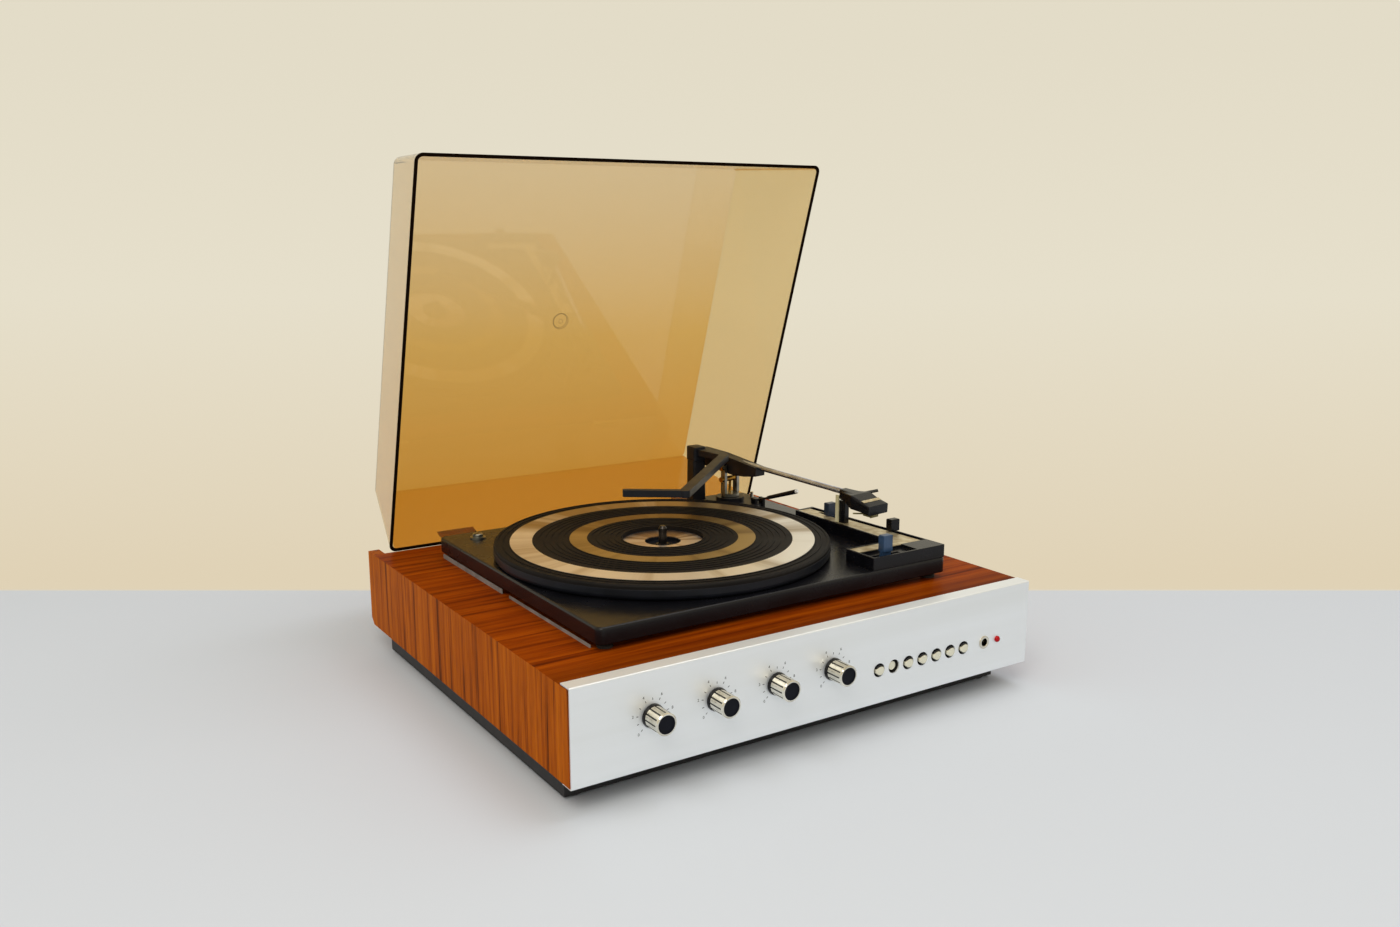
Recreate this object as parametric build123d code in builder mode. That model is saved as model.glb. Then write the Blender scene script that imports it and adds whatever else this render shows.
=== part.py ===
"""Record player with a built-in amplifier: wooden cabinet, record changer deck and tilting lid.

Millimetres. +X is to the right, +Y to the rear, +Z up. The origin is under the middle of the
open player, on the surface that it stands on. The lid is modelled open.
"""

from build123d import *
from math import atan2, cos, degrees, radians, sin, sqrt
import os

os.makedirs("parts", exist_ok=True)

# Cabinet
cabinet_width = 430.0
cabinet_depth = 398.0
body_height = 68.6
panel_thickness = 10.0
rear_recess = 16.0
corner_cut = 6.0
bottom_board = 4.0
vent_count = 9
vent_width = 4.0
vent_length = 60.0
vent_pitch = 12.0

# Recessed skirt and feet
skirt_height = 20.0
foot_reveal = 2.0
skirt_thickness = 12.0
skirt_side_inset = 9.5
skirt_front_inset = 28.5
skirt_rear_inset = 24.0
foot_radius = 9.0
foot_socket = 3.0

# Folded fascia and the board behind it
fascia_sheet = 1.2
fascia_end_gap = 0.6
fascia_lip = 11.3
baffle_thickness = 8.0

# Rotary controls
knob_names = ("balance", "volume", "treble", "bass")
knob_first = 63.0
knob_last_from_right = 210.4
control_height = 36.8
knob_radius = 8.0
knob_length = 18.0
knob_stand_off = 1.0
knob_grooves = 12
groove_width = 1.1
groove_depth = 0.6
cap_radius = 6.6
cap_depth = 1.2
shaft_radius = 3.0
shaft_length = 14.0
pot_radius = 8.0
pot_depth = 11.0
bush_radius = 4.0
nut_width = 11.0

# Push buttons
button_names = ("filter", "phono", "tape", "tuner", "aux", "mono", "power")
button_last_from_right = 74.5
button_pitch = 15.0
button_height = 26.0
button_radius = 4.3
button_hole_radius = 5.5
button_reach = 2.0
button_travel = 4.0
button_stem = 2.2
latched_button = "phono"
switch_height = 16.0
switch_depth = 22.0

# Headphone socket and pilot lamp
socket_from_right = 51.0
socket_bore = 3.2
socket_outer = 5.4
socket_depth = 22.0
lamp_from_right = 36.0
lamp_radius = 2.6
lamp_reach = 2.2

# Deck plate
deck_width = 333.0
deck_length = 298.2
deck_front_gap = 48.4
deck_rise = 18.0
deck_flange = 12.5
deck_sheet = 1.6
deck_corner = 6.0
deck_edge = 2.0
cut_out_width = 300.0
cut_out_length = 265.0
screw_from_cut_side = 11.0
screw_from_cut_rear = 7.0

# Platter, mat and trim; places on the deck are measured from its middle
spindle_x = -22.4
spindle_y = 0.0
mat_rise = 12.4
mat_thickness = 3.4
platter_radius = 143.5
platter_web = 2.4
platter_rim = 5.0
platter_gap = 0.8
hub_radius = 19.0
hub_clearance = 2.0
well_radius = 15.5
well_depth = 4.5
seat_radius = 34.8
seat_depth = 1.3
rings = ((64.8, 79.6), (111.1, 129.8))
centre_disc_radius = 34.5
trim_gauge = 0.8
trim_seat = 0.6
rib_height = 0.5
rib_width = 1.2
rib_pitch = 5.2
spindle_radius = 3.55
spindle_reach = 9.4
bearing_shaft_radius = 4.2
collar_radius = 6.0
collar_rise = 1.6

# Drive under the platter
idler_radius = 24.0
idler_width = 3.6
pulley_radius = 3.1
drive_gap = 0.3
idler_angle = 150.0
pulley_angle = -60.0
motor_radius = 30.0
motor_height = 30.0
shaft_fit = 0.05

# Raised control panel on the deck
panel_rise = 10.8
panel_front_margin = 1.3
panel_inner = 135.3
panel_right = 165.5
panel_rear_right = 157.6
panel_rear = 18.5
panel_rear_slant = 2.5
foot_left = 86.5
foot_length = 35.3
panel_rim = 1.7
seat_depth_panel = 1.0
scale_strip_width = 15.0
scale_foot_width = 12.6
scale_gap = 0.25
scale_gauge = 0.6
edge_channel = 4.4
channel_depth = 3.0
slot_width = 4.0
slot_depth = 7.0
lever_width = 9.5
lever_thickness = 3.2
speed_lever_place = (149.8, -15.5)
start_lever_place = (159.6, -89.5)
size_lever_x = 108.8
speed_lever_rise = 12.0
start_lever_rise = 10.8
size_lever_rise = 14.0
lever_travel = 10.0

# Tonearm
pivot_x = 123.0
pivot_y = 108.5
arm_height = 45.9
arm_droop = 2.8
rest_x = 144.0
rest_y = -41.5
rest_width = 6.5
rest_depth = 7.5
rest_gap = 0.4
strip_gauge = 1.2
strip_width = 3.4
tube_radius = 2.5
axis_drop = 8.0
head_setback = 1.4
head_slope = 21.0
head_length = 42.0
head_width = 25.5
neck_width = 9.0
neck_top = 2.85
neck_under = 6.2
brow_top = 2.8
brow_under = 9.7
nose_top = -3.1
nose_under = 11.5
head_wall = 1.6
arm_base_radius = 33.0
arm_base_rise = 4.0
base_offset = (-3.0, -2.0)
pin_place = (148.4, 106.5)
pin_radius = 1.6
pin_rise = 6.0

# Cueing lever
cue_hinge_place = (141.0, 85.5)
cue_tip_place = (147.0, 31.5)
cue_axis_above_base = 2.8
cue_rise = 18.0
cue_rod_radius = 1.0
cue_sleeve_radius = 1.8
cue_sleeve_length = 42.0
turret_radius = 9.0
gimbal_gap = 0.5

# Overarm that steadies the records
post_x = 100.0
post_y = 135.0
post_side = 14.0
post_foot_side = 15.0
post_corner = 2.5
overarm_height = 43.8
hub_width = 14.0
hub_length = 16.0
hub_height = 13.6
bar_rise = 5.6
bar_height = 6.0
bar_width = 9.0
bar_wall = 1.8
cross_bar_width = 6.0
overarm_points = ((100.0, 135.0), (104.5, 92.5), (-12.0, -19.5))
overarm_tip = (-52.5, 9.5)
rod_radius = 4.0

# Lid and its hinges
lid_rim_width = 402.0
lid_rim_length = 365.0
lid_depth = 104.0
lid_side_draft = 21.0
lid_front_draft = 31.0
lid_wall = 3.0
lid_open_angle = 72.0
lid_seat_gap = 0.3
lid_corner = 7.0
lid_edge = 2.5
hinge_spread = 260.0
hinge_width = 36.0
hinge_middle = 16.0
knuckle_radius = 2.0
knuckle_clearance = 0.6
knuckle_gap = 0.2
hinge_pin_radius = 1.0
leaf_gauge = 0.9
leaf_height = 14.0
axis_set_back = 2.25
axis_in_wall = 2.35
axis_above_rim = 3.2

# Levels and reference places worked out from the sizes above
left = -cabinet_width / 2
top_panel_length = cabinet_depth - rear_recess
tilt = radians(lid_open_angle)
lid_swing = axis_in_wall * cos(tilt) + (lid_depth - axis_above_rim) * sin(tilt)
lid_rear_reach = top_panel_length + axis_set_back + lid_swing
front = -(lid_rear_reach - knob_length) / 2
body_bottom = skirt_height + foot_reveal
body_top = body_bottom + body_height
deck_top = body_top + deck_rise
mat_top = deck_top + mat_rise
panel_top = deck_top + panel_rise
inner_left = panel_thickness
inner_right = cabinet_width - panel_thickness
baffle_back = fascia_sheet + baffle_thickness
control_z = body_bottom + control_height
button_z = body_bottom + button_height


def at(x, y):
    """A place on the plan, measured from the cabinet's front left corner."""
    return (left + x, front + y)


deck_centre = at(cabinet_width / 2, deck_front_gap + deck_length / 2)


def on_deck(x, y):
    """A place on the plan, measured from the middle of the deck."""
    return (deck_centre[0] + x, deck_centre[1] + y)


def level(z):
    """A horizontal sketch plane at the height z."""
    return Plane.XY.offset(z)


def facing_front(y):
    """An upright sketch plane, y behind the fascia's front, that looks forward."""
    return Plane(origin=(0, front + y, 0), x_dir=(1, 0, 0), z_dir=(0, -1, 0))


def across(x):
    """An upright sketch plane, x from the cabinet's left side, that looks to the right."""
    return Plane(origin=(left + x, 0, 0), x_dir=(0, 1, 0), z_dir=(1, 0, 0))


def save(piece, name):
    """Label a finished piece and write it under its own name."""
    piece.part.label = name
    export_step(piece.part, f"parts/{name}.step")


knob_pitch = (cabinet_width - knob_last_from_right - knob_first) / (len(knob_names) - 1)
knob_places = [(left + knob_first + knob_pitch * i, control_z) for i in range(len(knob_names))]
button_last = -left - button_last_from_right
button_places = [
    (button_last - button_pitch * i, button_z) for i in reversed(range(len(button_names)))
]
socket_place = (-left - socket_from_right, button_z)
lamp_place = (-left - lamp_from_right, button_z)

# Side panels, mitred along the top panel and square behind it
with BuildPart() as side_panels:
    for x_outer, x_inner in ((0.0, inner_left), (cabinet_width, inner_right)):
        with BuildSketch(across(min(x_outer, x_inner))):
            with BuildLine():
                Polyline(
                    (front + fascia_sheet, body_bottom),
                    (front + cabinet_depth - corner_cut, body_bottom),
                    (front + cabinet_depth, body_bottom + corner_cut),
                    (front + cabinet_depth, body_top),
                    (front + fascia_sheet, body_top),
                    close=True,
                )
            make_face()
        extrude(amount=panel_thickness)
        with BuildSketch(facing_front(0)):
            with BuildLine():
                Polyline(
                    (left + x_outer, body_top),
                    (left + x_inner, body_top),
                    (left + x_inner, body_top - panel_thickness),
                    close=True,
                )
            make_face()
        extrude(amount=-top_panel_length, mode=Mode.SUBTRACT)
save(side_panels, "side_panels")

# Hinge places, shared by the top panel, the leaves and the lid
hinge_y = front + top_panel_length + axis_set_back
hinge_z = body_top + lid_seat_gap + axis_above_rim
hinge_centres = (-hinge_spread / 2, hinge_spread / 2)

# Top panel with mitred ends and the deck's cut-out
with BuildPart() as top_panel:
    with BuildSketch(facing_front(fascia_sheet)):
        with BuildLine():
            Polyline(
                (left, body_top),
                (-left, body_top),
                (-left - panel_thickness, body_top - panel_thickness),
                (left + panel_thickness, body_top - panel_thickness),
                close=True,
            )
        make_face()
    extrude(amount=-(top_panel_length - fascia_sheet))
    with BuildSketch(level(body_top)):
        with Locations(deck_centre):
            RectangleRounded(cut_out_width, cut_out_length, deck_corner)
    extrude(amount=-panel_thickness, mode=Mode.SUBTRACT)
save(top_panel, "top_panel")

# Board behind the fascia, bored for every control
with BuildPart() as front_baffle:
    with BuildSketch(facing_front(fascia_sheet)):
        with Locations((0, body_bottom + (body_height - panel_thickness) / 2)):
            Rectangle(cabinet_width - 2 * panel_thickness, body_height - panel_thickness)
        with Locations(*knob_places):
            Circle(nut_width / 2 + 1.5, mode=Mode.SUBTRACT)
        with Locations(*button_places):
            Circle(button_hole_radius, mode=Mode.SUBTRACT)
        with Locations(socket_place):
            Circle(socket_outer + 1.0, mode=Mode.SUBTRACT)
        with Locations(lamp_place):
            Circle(lamp_radius + 0.8, mode=Mode.SUBTRACT)
    extrude(amount=-baffle_thickness)
save(front_baffle, "front_baffle")

# Fascia: one folded sheet whose lips lap over the top panel and under the cabinet
with BuildPart() as fascia_panel:
    with BuildSketch(across(fascia_end_gap)):
        with BuildLine():
            Polyline(
                (front, body_bottom - fascia_sheet),
                (front + fascia_sheet + fascia_lip, body_bottom - fascia_sheet),
                (front + fascia_sheet + fascia_lip, body_bottom),
                (front + fascia_sheet, body_bottom),
                (front + fascia_sheet, body_top),
                (front + fascia_sheet + fascia_lip, body_top),
                (front + fascia_sheet + fascia_lip, body_top + fascia_sheet),
                (front, body_top + fascia_sheet),
                close=True,
            )
        make_face()
    extrude(amount=cabinet_width - 2 * fascia_end_gap)
    long_edges = fascia_panel.edges().filter_by(Axis.X)
    fillet(long_edges.group_by(Axis.Y)[0], fascia_sheet * 0.8)
    with BuildSketch(facing_front(0)):
        with Locations(*knob_places):
            Circle(bush_radius + 0.3)
        with Locations(*button_places):
            Circle(button_hole_radius)
        with Locations(socket_place):
            Circle(socket_bore + 1.1)
        with Locations(lamp_place):
            Circle(lamp_radius)
    extrude(amount=-fascia_sheet, mode=Mode.SUBTRACT)
save(fascia_panel, "fascia_panel")

# Rear panel, set in from the rear, with vents and holes for the sockets and the inlet
speaker_from_left = 70.0
speaker_pitch = 30.0
speaker_height = 24.0
speaker_places = [(left + speaker_from_left + speaker_pitch * i, body_bottom + speaker_height) for i in range(2)]
speaker_socket_radius = 7.5
inlet_from_right = 70.0
inlet_height = 20.0
inlet_place = (-left - inlet_from_right, body_bottom + inlet_height)
grommet_neck = 5.0
grommet_lip = 7.5
rear_board = 5.0
rear_board_front = top_panel_length - rear_board
with BuildPart() as rear_panel:
    with BuildSketch(facing_front(rear_board_front)):
        with Locations((0, body_bottom + (body_height - panel_thickness) / 2)):
            Rectangle(cabinet_width - 2 * panel_thickness, body_height - panel_thickness)
        with Locations(*speaker_places):
            Circle(speaker_socket_radius, mode=Mode.SUBTRACT)
        with Locations(inlet_place):
            Circle(grommet_neck, mode=Mode.SUBTRACT)
        with Locations((0, body_bottom + body_height / 2)):
            with GridLocations(vent_pitch, 1, vent_count, 1):
                SlotOverall(vent_length / 2, vent_width, rotation=90, mode=Mode.SUBTRACT)
    extrude(amount=-rear_board)
save(rear_panel, "rear_panel")

# Bottom board with a field of vent slots
bottom_length = rear_board_front - baffle_back
bottom_centre = at(cabinet_width / 2, baffle_back + bottom_length / 2)
with BuildPart() as bottom_panel:
    with BuildSketch(level(body_bottom)):
        with Locations(bottom_centre):
            Rectangle(cabinet_width - 2 * panel_thickness, bottom_length)
            with GridLocations(vent_pitch, vent_length * 1.4, vent_count, 2):
                SlotOverall(vent_length, vent_width, rotation=90, mode=Mode.SUBTRACT)
    extrude(amount=bottom_board)
save(bottom_panel, "bottom_panel")

# Recessed skirt of four rails, butted at the corners
skirt_width = cabinet_width - 2 * skirt_side_inset
skirt_length = cabinet_depth - skirt_front_inset - skirt_rear_inset
skirt_centre_y = skirt_front_inset + skirt_length / 2
foot_inset = skirt_thickness / 2 + foot_radius / 2
with BuildPart() as base_frame:
    with BuildSketch(level(foot_reveal)):
        with Locations(at(cabinet_width / 2, skirt_front_inset + skirt_thickness / 2)):
            Rectangle(skirt_width, skirt_thickness)
        rear_rail_y = cabinet_depth - skirt_rear_inset - skirt_thickness / 2
        with Locations(at(cabinet_width / 2, rear_rail_y)):
            Rectangle(skirt_width, skirt_thickness)
    extrude(amount=skirt_height)
    side_rail_length = skirt_length - 2 * skirt_thickness
    for x in (skirt_side_inset, cabinet_width - skirt_side_inset - skirt_thickness):
        with BuildSketch(level(foot_reveal)):
            with Locations(at(x + skirt_thickness / 2, skirt_centre_y)):
                Rectangle(skirt_thickness, side_rail_length)
        extrude(amount=skirt_height)
    rear_block = cabinet_depth - skirt_rear_inset - skirt_thickness
    for x in (skirt_side_inset + skirt_thickness, cabinet_width - skirt_side_inset - 2 * skirt_thickness):
        for y in (skirt_front_inset + skirt_thickness, rear_block - skirt_thickness):
            with BuildSketch(level(foot_reveal)):
                with Locations(at(x + skirt_thickness / 2, y + skirt_thickness / 2)):
                    Rectangle(skirt_thickness, skirt_thickness)
            extrude(amount=skirt_height)
    foot_places = [
        at(x, y)
        for x in (skirt_side_inset + foot_inset, cabinet_width - skirt_side_inset - foot_inset)
        for y in (skirt_front_inset + foot_inset, cabinet_depth - skirt_rear_inset - foot_inset)
    ]
    with BuildSketch(level(foot_reveal)):
        with Locations(*foot_places):
            Circle(foot_radius)
    extrude(amount=foot_socket, mode=Mode.SUBTRACT)
save(base_frame, "base_frame")

with BuildPart() as rubber_feet:
    with BuildSketch(level(0)):
        with Locations(*foot_places):
            Circle(foot_radius)
    extrude(amount=foot_reveal + foot_socket)
    chamfer(rubber_feet.edges().group_by(Axis.Z)[0], foot_reveal / 2)
save(rubber_feet, "rubber_feet")

# Potentiometers behind the baffle: bush, nut and can, with a bore for each shaft
pot_front = baffle_back
shaft_back = knob_stand_off + shaft_length
with BuildPart() as potentiometers:
    with BuildSketch(facing_front(fascia_sheet)):
        with Locations(*knob_places):
            RegularPolygon(nut_width / 2, 6, major_radius=False)
    extrude(amount=-2.0)
    with BuildSketch(facing_front(0.0)):
        with Locations(*knob_places):
            Circle(bush_radius)
    extrude(amount=-(pot_front + 1.0))
    with BuildSketch(facing_front(pot_front)):
        with Locations(*knob_places):
            Circle(pot_radius)
            with Locations((0, -pot_radius)):
                Rectangle(pot_radius * 1.5, pot_radius)
    extrude(amount=-pot_depth)
    with BuildSketch(facing_front(0.0)):
        with Locations(*knob_places):
            Circle(shaft_radius + shaft_fit)
    extrude(amount=-shaft_length, mode=Mode.SUBTRACT)
save(potentiometers, "potentiometers")

# Knobs: grooved metal shells that grip their shafts, each with a dished dark cap
for name, (knob_x, knob_z) in zip(knob_names, knob_places):
    knob_axis = Plane(origin=(knob_x, front - knob_stand_off, knob_z), x_dir=(1, 0, 0), z_dir=(0, -1, 0))
    body_length = knob_length - knob_stand_off
    with BuildPart() as knob:
        with BuildSketch(knob_axis):
            Circle(knob_radius)
            with PolarLocations(knob_radius, knob_grooves):
                Rectangle(2 * groove_depth, groove_width, mode=Mode.SUBTRACT)
        extrude(amount=body_length - 1.6)
        with BuildSketch(knob_axis.offset(body_length - 1.6)):
            Circle(knob_radius)
        extrude(amount=1.6)
        chamfer(knob.edges().filter_by(GeomType.CIRCLE).group_by(Axis.Y)[0], 0.5)
        with BuildSketch(knob_axis.offset(body_length)):
            Circle(cap_radius)
        extrude(amount=-cap_depth, mode=Mode.SUBTRACT)
        with BuildSketch(knob_axis):
            Circle(shaft_radius)
        extrude(amount=-(shaft_length - knob_stand_off))
    save(knob, f"{name}_knob")
    with BuildPart() as knob_cap:
        with BuildSketch(knob_axis.offset(body_length - cap_depth)):
            Circle(cap_radius)
        extrude(amount=cap_depth)
        with BuildSketch(knob_axis.offset(body_length)):
            Circle(cap_radius - 0.8)
        extrude(amount=-0.4, mode=Mode.SUBTRACT)
    save(knob_cap, f"{name}_knob_cap")

# Push-button switch bank: a row of bored cells on one frame
switch_front = baffle_back + 2.0
switch_bore = button_stem + 0.3
stem_reach = switch_depth - button_travel - 2.0
bank_width = button_pitch * len(button_names)
bank_centre_x = sum(x for x, _ in button_places) / len(button_places)
with BuildPart() as switch_bank:
    with BuildSketch(facing_front(switch_front)):
        with Locations((bank_centre_x, button_z)):
            Rectangle(bank_width + 8.0, switch_height - 4.0)
    extrude(amount=-1.5)
    with BuildSketch(facing_front(switch_front + 1.5)):
        with Locations(*button_places):
            Rectangle(button_pitch - 3.0, switch_height)
    extrude(amount=-(switch_depth - 1.5))
    with BuildSketch(facing_front(switch_front + 1.5)):
        with Locations((bank_centre_x, button_z - switch_height / 2 - 0.8)):
            Rectangle(bank_width + 8.0, 1.6)
    extrude(amount=-(switch_depth - 1.5))
    with BuildSketch(facing_front(switch_front)):
        with Locations(*button_places):
            Circle(switch_bore)
    extrude(amount=-(switch_depth - 2.0), mode=Mode.SUBTRACT)
save(switch_bank, "switch_bank")

# Buttons: a domed head on a stem; one is latched in
for name, (button_x, z) in zip(button_names, button_places):
    pushed = button_travel if name == latched_button else 0.0
    head_front = -button_reach + pushed
    head_back = baffle_back - button_travel - 1.0 + pushed
    with BuildPart() as button:
        tip = Plane(origin=(button_x, front + head_front, z), x_dir=(1, 0, 0), z_dir=(0, -1, 0))
        with BuildSketch(tip):
            Circle(button_radius)
        extrude(amount=-(head_back - head_front))
        dome = button.edges().group_by(Axis.Y)[0]
        fillet(dome, button_radius * 0.35)
        with BuildSketch(tip.offset(-(head_back - head_front))):
            Circle(button_stem)
        extrude(amount=-(switch_front + stem_reach - button_travel - head_back + pushed))
    save(button, f"{name}_button")

# Headphone socket and pilot lamp
with BuildPart() as headphone_socket:
    with BuildSketch(facing_front(-0.9)):
        with Locations(socket_place):
            Circle(socket_outer)
    extrude(amount=-0.9)
    with BuildSketch(facing_front(0)):
        with Locations(socket_place):
            Circle(socket_bore + 1.0)
    extrude(amount=-(baffle_back + 1.0))
    with BuildSketch(facing_front(baffle_back)):
        with Locations(socket_place):
            Rectangle(2 * socket_outer, 2 * socket_outer)
    extrude(amount=-(socket_depth - baffle_back))
    with BuildSketch(facing_front(-0.9)):
        with Locations(socket_place):
            Circle(socket_bore)
    extrude(amount=-(socket_depth - 2.0), mode=Mode.SUBTRACT)
    chamfer(headphone_socket.edges().filter_by(GeomType.CIRCLE).group_by(Axis.Y)[0], 0.3)
save(headphone_socket, "headphone_socket")

with BuildPart() as pilot_lamp:
    lamp_plane = Plane(origin=(lamp_place[0], front - lamp_reach, lamp_place[1]), x_dir=(1, 0, 0), z_dir=(0, -1, 0))
    with BuildSketch(lamp_plane):
        Circle(lamp_radius)
    extrude(amount=-(baffle_back + lamp_reach + 4.0))
    fillet(pilot_lamp.edges().group_by(Axis.Y)[0], lamp_radius * 0.7)
    with BuildSketch(facing_front(baffle_back)):
        with Locations(lamp_place):
            Circle(lamp_radius + 1.6)
    extrude(amount=-3.0)
save(pilot_lamp, "pilot_lamp")

# Amplifier board with its heat sink, transistors and smoothing capacitors
board_from_right = 130.0
board_from_front = 95.0
board_centre = at(cabinet_width - board_from_right, board_from_front)
board_length = 150.0
board_depth = 90.0
board_gauge = 1.6
board_z = body_bottom + bottom_board + 6.0
board_top = board_z + board_gauge
pillar_places = [
    (board_centre[0] + sx * (board_length / 2 - 6), board_centre[1] + sy * (board_depth / 2 - 6))
    for sx in (-1, 1)
    for sy in (-1, 1)
]
with BuildPart() as amplifier_board:
    with BuildSketch(level(board_z)):
        with Locations(board_centre):
            RectangleRounded(board_length, board_depth, 2.0)
    extrude(amount=board_gauge)
    with BuildSketch(level(body_bottom + bottom_board)):
        with Locations(*pillar_places):
            Circle(3.0)
    extrude(amount=6.0)
    with BuildSketch(level(board_top)):
        with Locations((board_centre[0] - 40.0, board_centre[1] + 30.0)):
            Rectangle(56.0, 4.0)
            with GridLocations(7.0, 1, 8, 1):
                with Locations((0, 5.0)):
                    Rectangle(1.6, 10.0)
    extrude(amount=20.0)
    with BuildSketch(level(board_top)):
        with Locations((board_centre[0] + 30.0, board_centre[1] + 18.0)):
            with GridLocations(24.0, 1, 2, 1):
                Circle(9.0)
    extrude(amount=22.0)
    with BuildSketch(level(board_top)):
        with Locations((board_centre[0], board_centre[1] - 22.0)):
            with GridLocations(18.0, 14.0, 6, 2):
                Circle(3.0)
    extrude(amount=9.0)
save(amplifier_board, "amplifier_board")

# Mains transformer: core, bobbin and mounting feet
transformer_from_right = 85.0
transformer_from_rear = 82.0
transformer_centre = at(cabinet_width - transformer_from_right, top_panel_length - transformer_from_rear)
core_width = 54.0
core_depth = 26.0
core_height = 42.0
transformer_z = body_bottom + bottom_board
with BuildPart() as mains_transformer:
    with BuildSketch(level(transformer_z + 1.5)):
        with Locations(transformer_centre):
            Rectangle(core_width, core_depth)
    extrude(amount=core_height)
    with BuildSketch(level(transformer_z + 8.0)):
        with Locations(transformer_centre):
            RectangleRounded(core_width * 0.55, core_depth + 20.0, 5.0)
    extrude(amount=core_height - 13.0)
    with BuildSketch(level(transformer_z)):
        with Locations(transformer_centre):
            Rectangle(core_width + 20.0, core_depth)
            with GridLocations(core_width + 12.0, 1, 2, 1):
                Circle(2.2, mode=Mode.SUBTRACT)
    extrude(amount=1.5)
save(mains_transformer, "mains_transformer")

# Speaker sockets and the inlet grommet on the rear panel
with BuildPart() as speaker_sockets:
    for x, z in speaker_places:
        socket_axis = Plane(origin=(x, front + top_panel_length, z), x_dir=(-1, 0, 0), z_dir=(0, 1, 0))
        with BuildSketch(socket_axis):
            Circle(speaker_socket_radius + 1.5)
        extrude(amount=1.2)
        with BuildSketch(socket_axis):
            Circle(speaker_socket_radius)
        extrude(amount=-(rear_board + 6.0))
        with BuildSketch(socket_axis.offset(1.2)):
            Circle(speaker_socket_radius - 2.0)
            Circle(speaker_socket_radius - 2.0 - 2.6, mode=Mode.SUBTRACT)
        extrude(amount=-4.0, mode=Mode.SUBTRACT)
save(speaker_sockets, "speaker_sockets")

with BuildPart() as mains_inlet_grommet:
    inlet_axis = Plane(
        origin=(inlet_place[0], front + top_panel_length, inlet_place[1]), x_dir=(-1, 0, 0), z_dir=(0, 1, 0)
    )
    with BuildSketch(inlet_axis):
        Circle(grommet_lip)
    extrude(amount=2.0)
    fillet(mains_inlet_grommet.edges().group_by(Axis.Y)[-1], 1.2)
    with BuildSketch(inlet_axis):
        Circle(grommet_neck)
    extrude(amount=-rear_board)
    with BuildSketch(inlet_axis.offset(-rear_board)):
        Circle(grommet_lip)
    extrude(amount=-2.0)
    with BuildSketch(inlet_axis.offset(2.0)):
        Circle(grommet_neck - 1.8)
    extrude(amount=-(rear_board + 4.0), mode=Mode.SUBTRACT)
save(mains_inlet_grommet, "mains_inlet_grommet")

# Drive geometry: the idler sits between the motor pulley and the platter's inner rim
spindle_at = on_deck(spindle_x, spindle_y)
platter_inner = platter_radius - platter_rim
idler_orbit = platter_inner - drive_gap - idler_radius
idler_at = (
    spindle_at[0] + idler_orbit * cos(radians(idler_angle)),
    spindle_at[1] + idler_orbit * sin(radians(idler_angle)),
)
pulley_orbit = idler_radius + pulley_radius + drive_gap
motor_at = (
    idler_at[0] + pulley_orbit * cos(radians(pulley_angle)),
    idler_at[1] + pulley_orbit * sin(radians(pulley_angle)),
)
deck_under = deck_top - deck_sheet
platter_top = mat_top - mat_thickness
drive_plane_z = (deck_top + platter_top - platter_web) / 2
idler_pin_radius = 2.0
motor_shaft_radius = 1.6

# Deck plate: a pressed steel tray, bored for the bearing, the pulley and the screw
screw_at = on_deck(screw_from_cut_side - cut_out_width / 2, cut_out_length / 2 - screw_from_cut_rear)
bearing_radius = 6.9
with BuildPart() as deck_plate:
    with BuildSketch(level(deck_top)):
        with Locations(deck_centre):
            RectangleRounded(deck_width, deck_length, deck_corner)
    extrude(amount=-deck_flange)
    fillet(deck_plate.faces().sort_by(Axis.Z)[-1].edges(), deck_edge)
    with BuildSketch(level(deck_under)):
        with Locations(deck_centre):
            RectangleRounded(deck_width - 2 * deck_sheet, deck_length - 2 * deck_sheet, deck_corner - deck_sheet)
    extrude(amount=-deck_flange, mode=Mode.SUBTRACT)
    with BuildSketch(level(deck_top)):
        with Locations(spindle_at):
            Circle(bearing_radius)
        with Locations(motor_at):
            Circle(9.0)
        with Locations(screw_at):
            Circle(3.3)
    extrude(amount=-deck_sheet, mode=Mode.SUBTRACT)
    with BuildSketch(level(deck_top)):
        with Locations(idler_at):
            Circle(4.0)
    extrude(amount=drive_plane_z - idler_width / 2 - 0.4 - deck_top)
    with BuildSketch(level(deck_top)):
        with Locations(idler_at):
            Circle(idler_pin_radius)
    extrude(amount=drive_plane_z + idler_width / 2 - deck_top)
save(deck_plate, "deck_plate")

# Spring mounts that carry the deck on the cabinet's top panel
mount_inset = 11.0
mount_places = [
    (deck_centre[0] + sx * (deck_width / 2 - mount_inset), deck_centre[1] + sy * (deck_length / 2 - mount_inset))
    for sx in (-1, 1)
    for sy in (-1, 1)
]
mount_height = deck_under - body_top
with BuildPart() as deck_mounts:
    for place in mount_places:
        with BuildSketch(Plane(origin=(place[0], place[1], body_top), x_dir=(1, 0, 0), z_dir=(0, -1, 0))):
            with BuildLine():
                Polyline(
                    (0, 0), (6.0, 0), (6.0, 2.0), (4.2, 3.2), (5.4, mount_height / 2), (4.2, mount_height - 3.2),
                    (5.6, mount_height - 2.0), (5.6, mount_height), (0, mount_height), close=True,
                )
            make_face()
        revolve(axis=Axis((place[0], place[1], 0), (0, 0, 1)))
save(deck_mounts, "deck_mounts")

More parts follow.
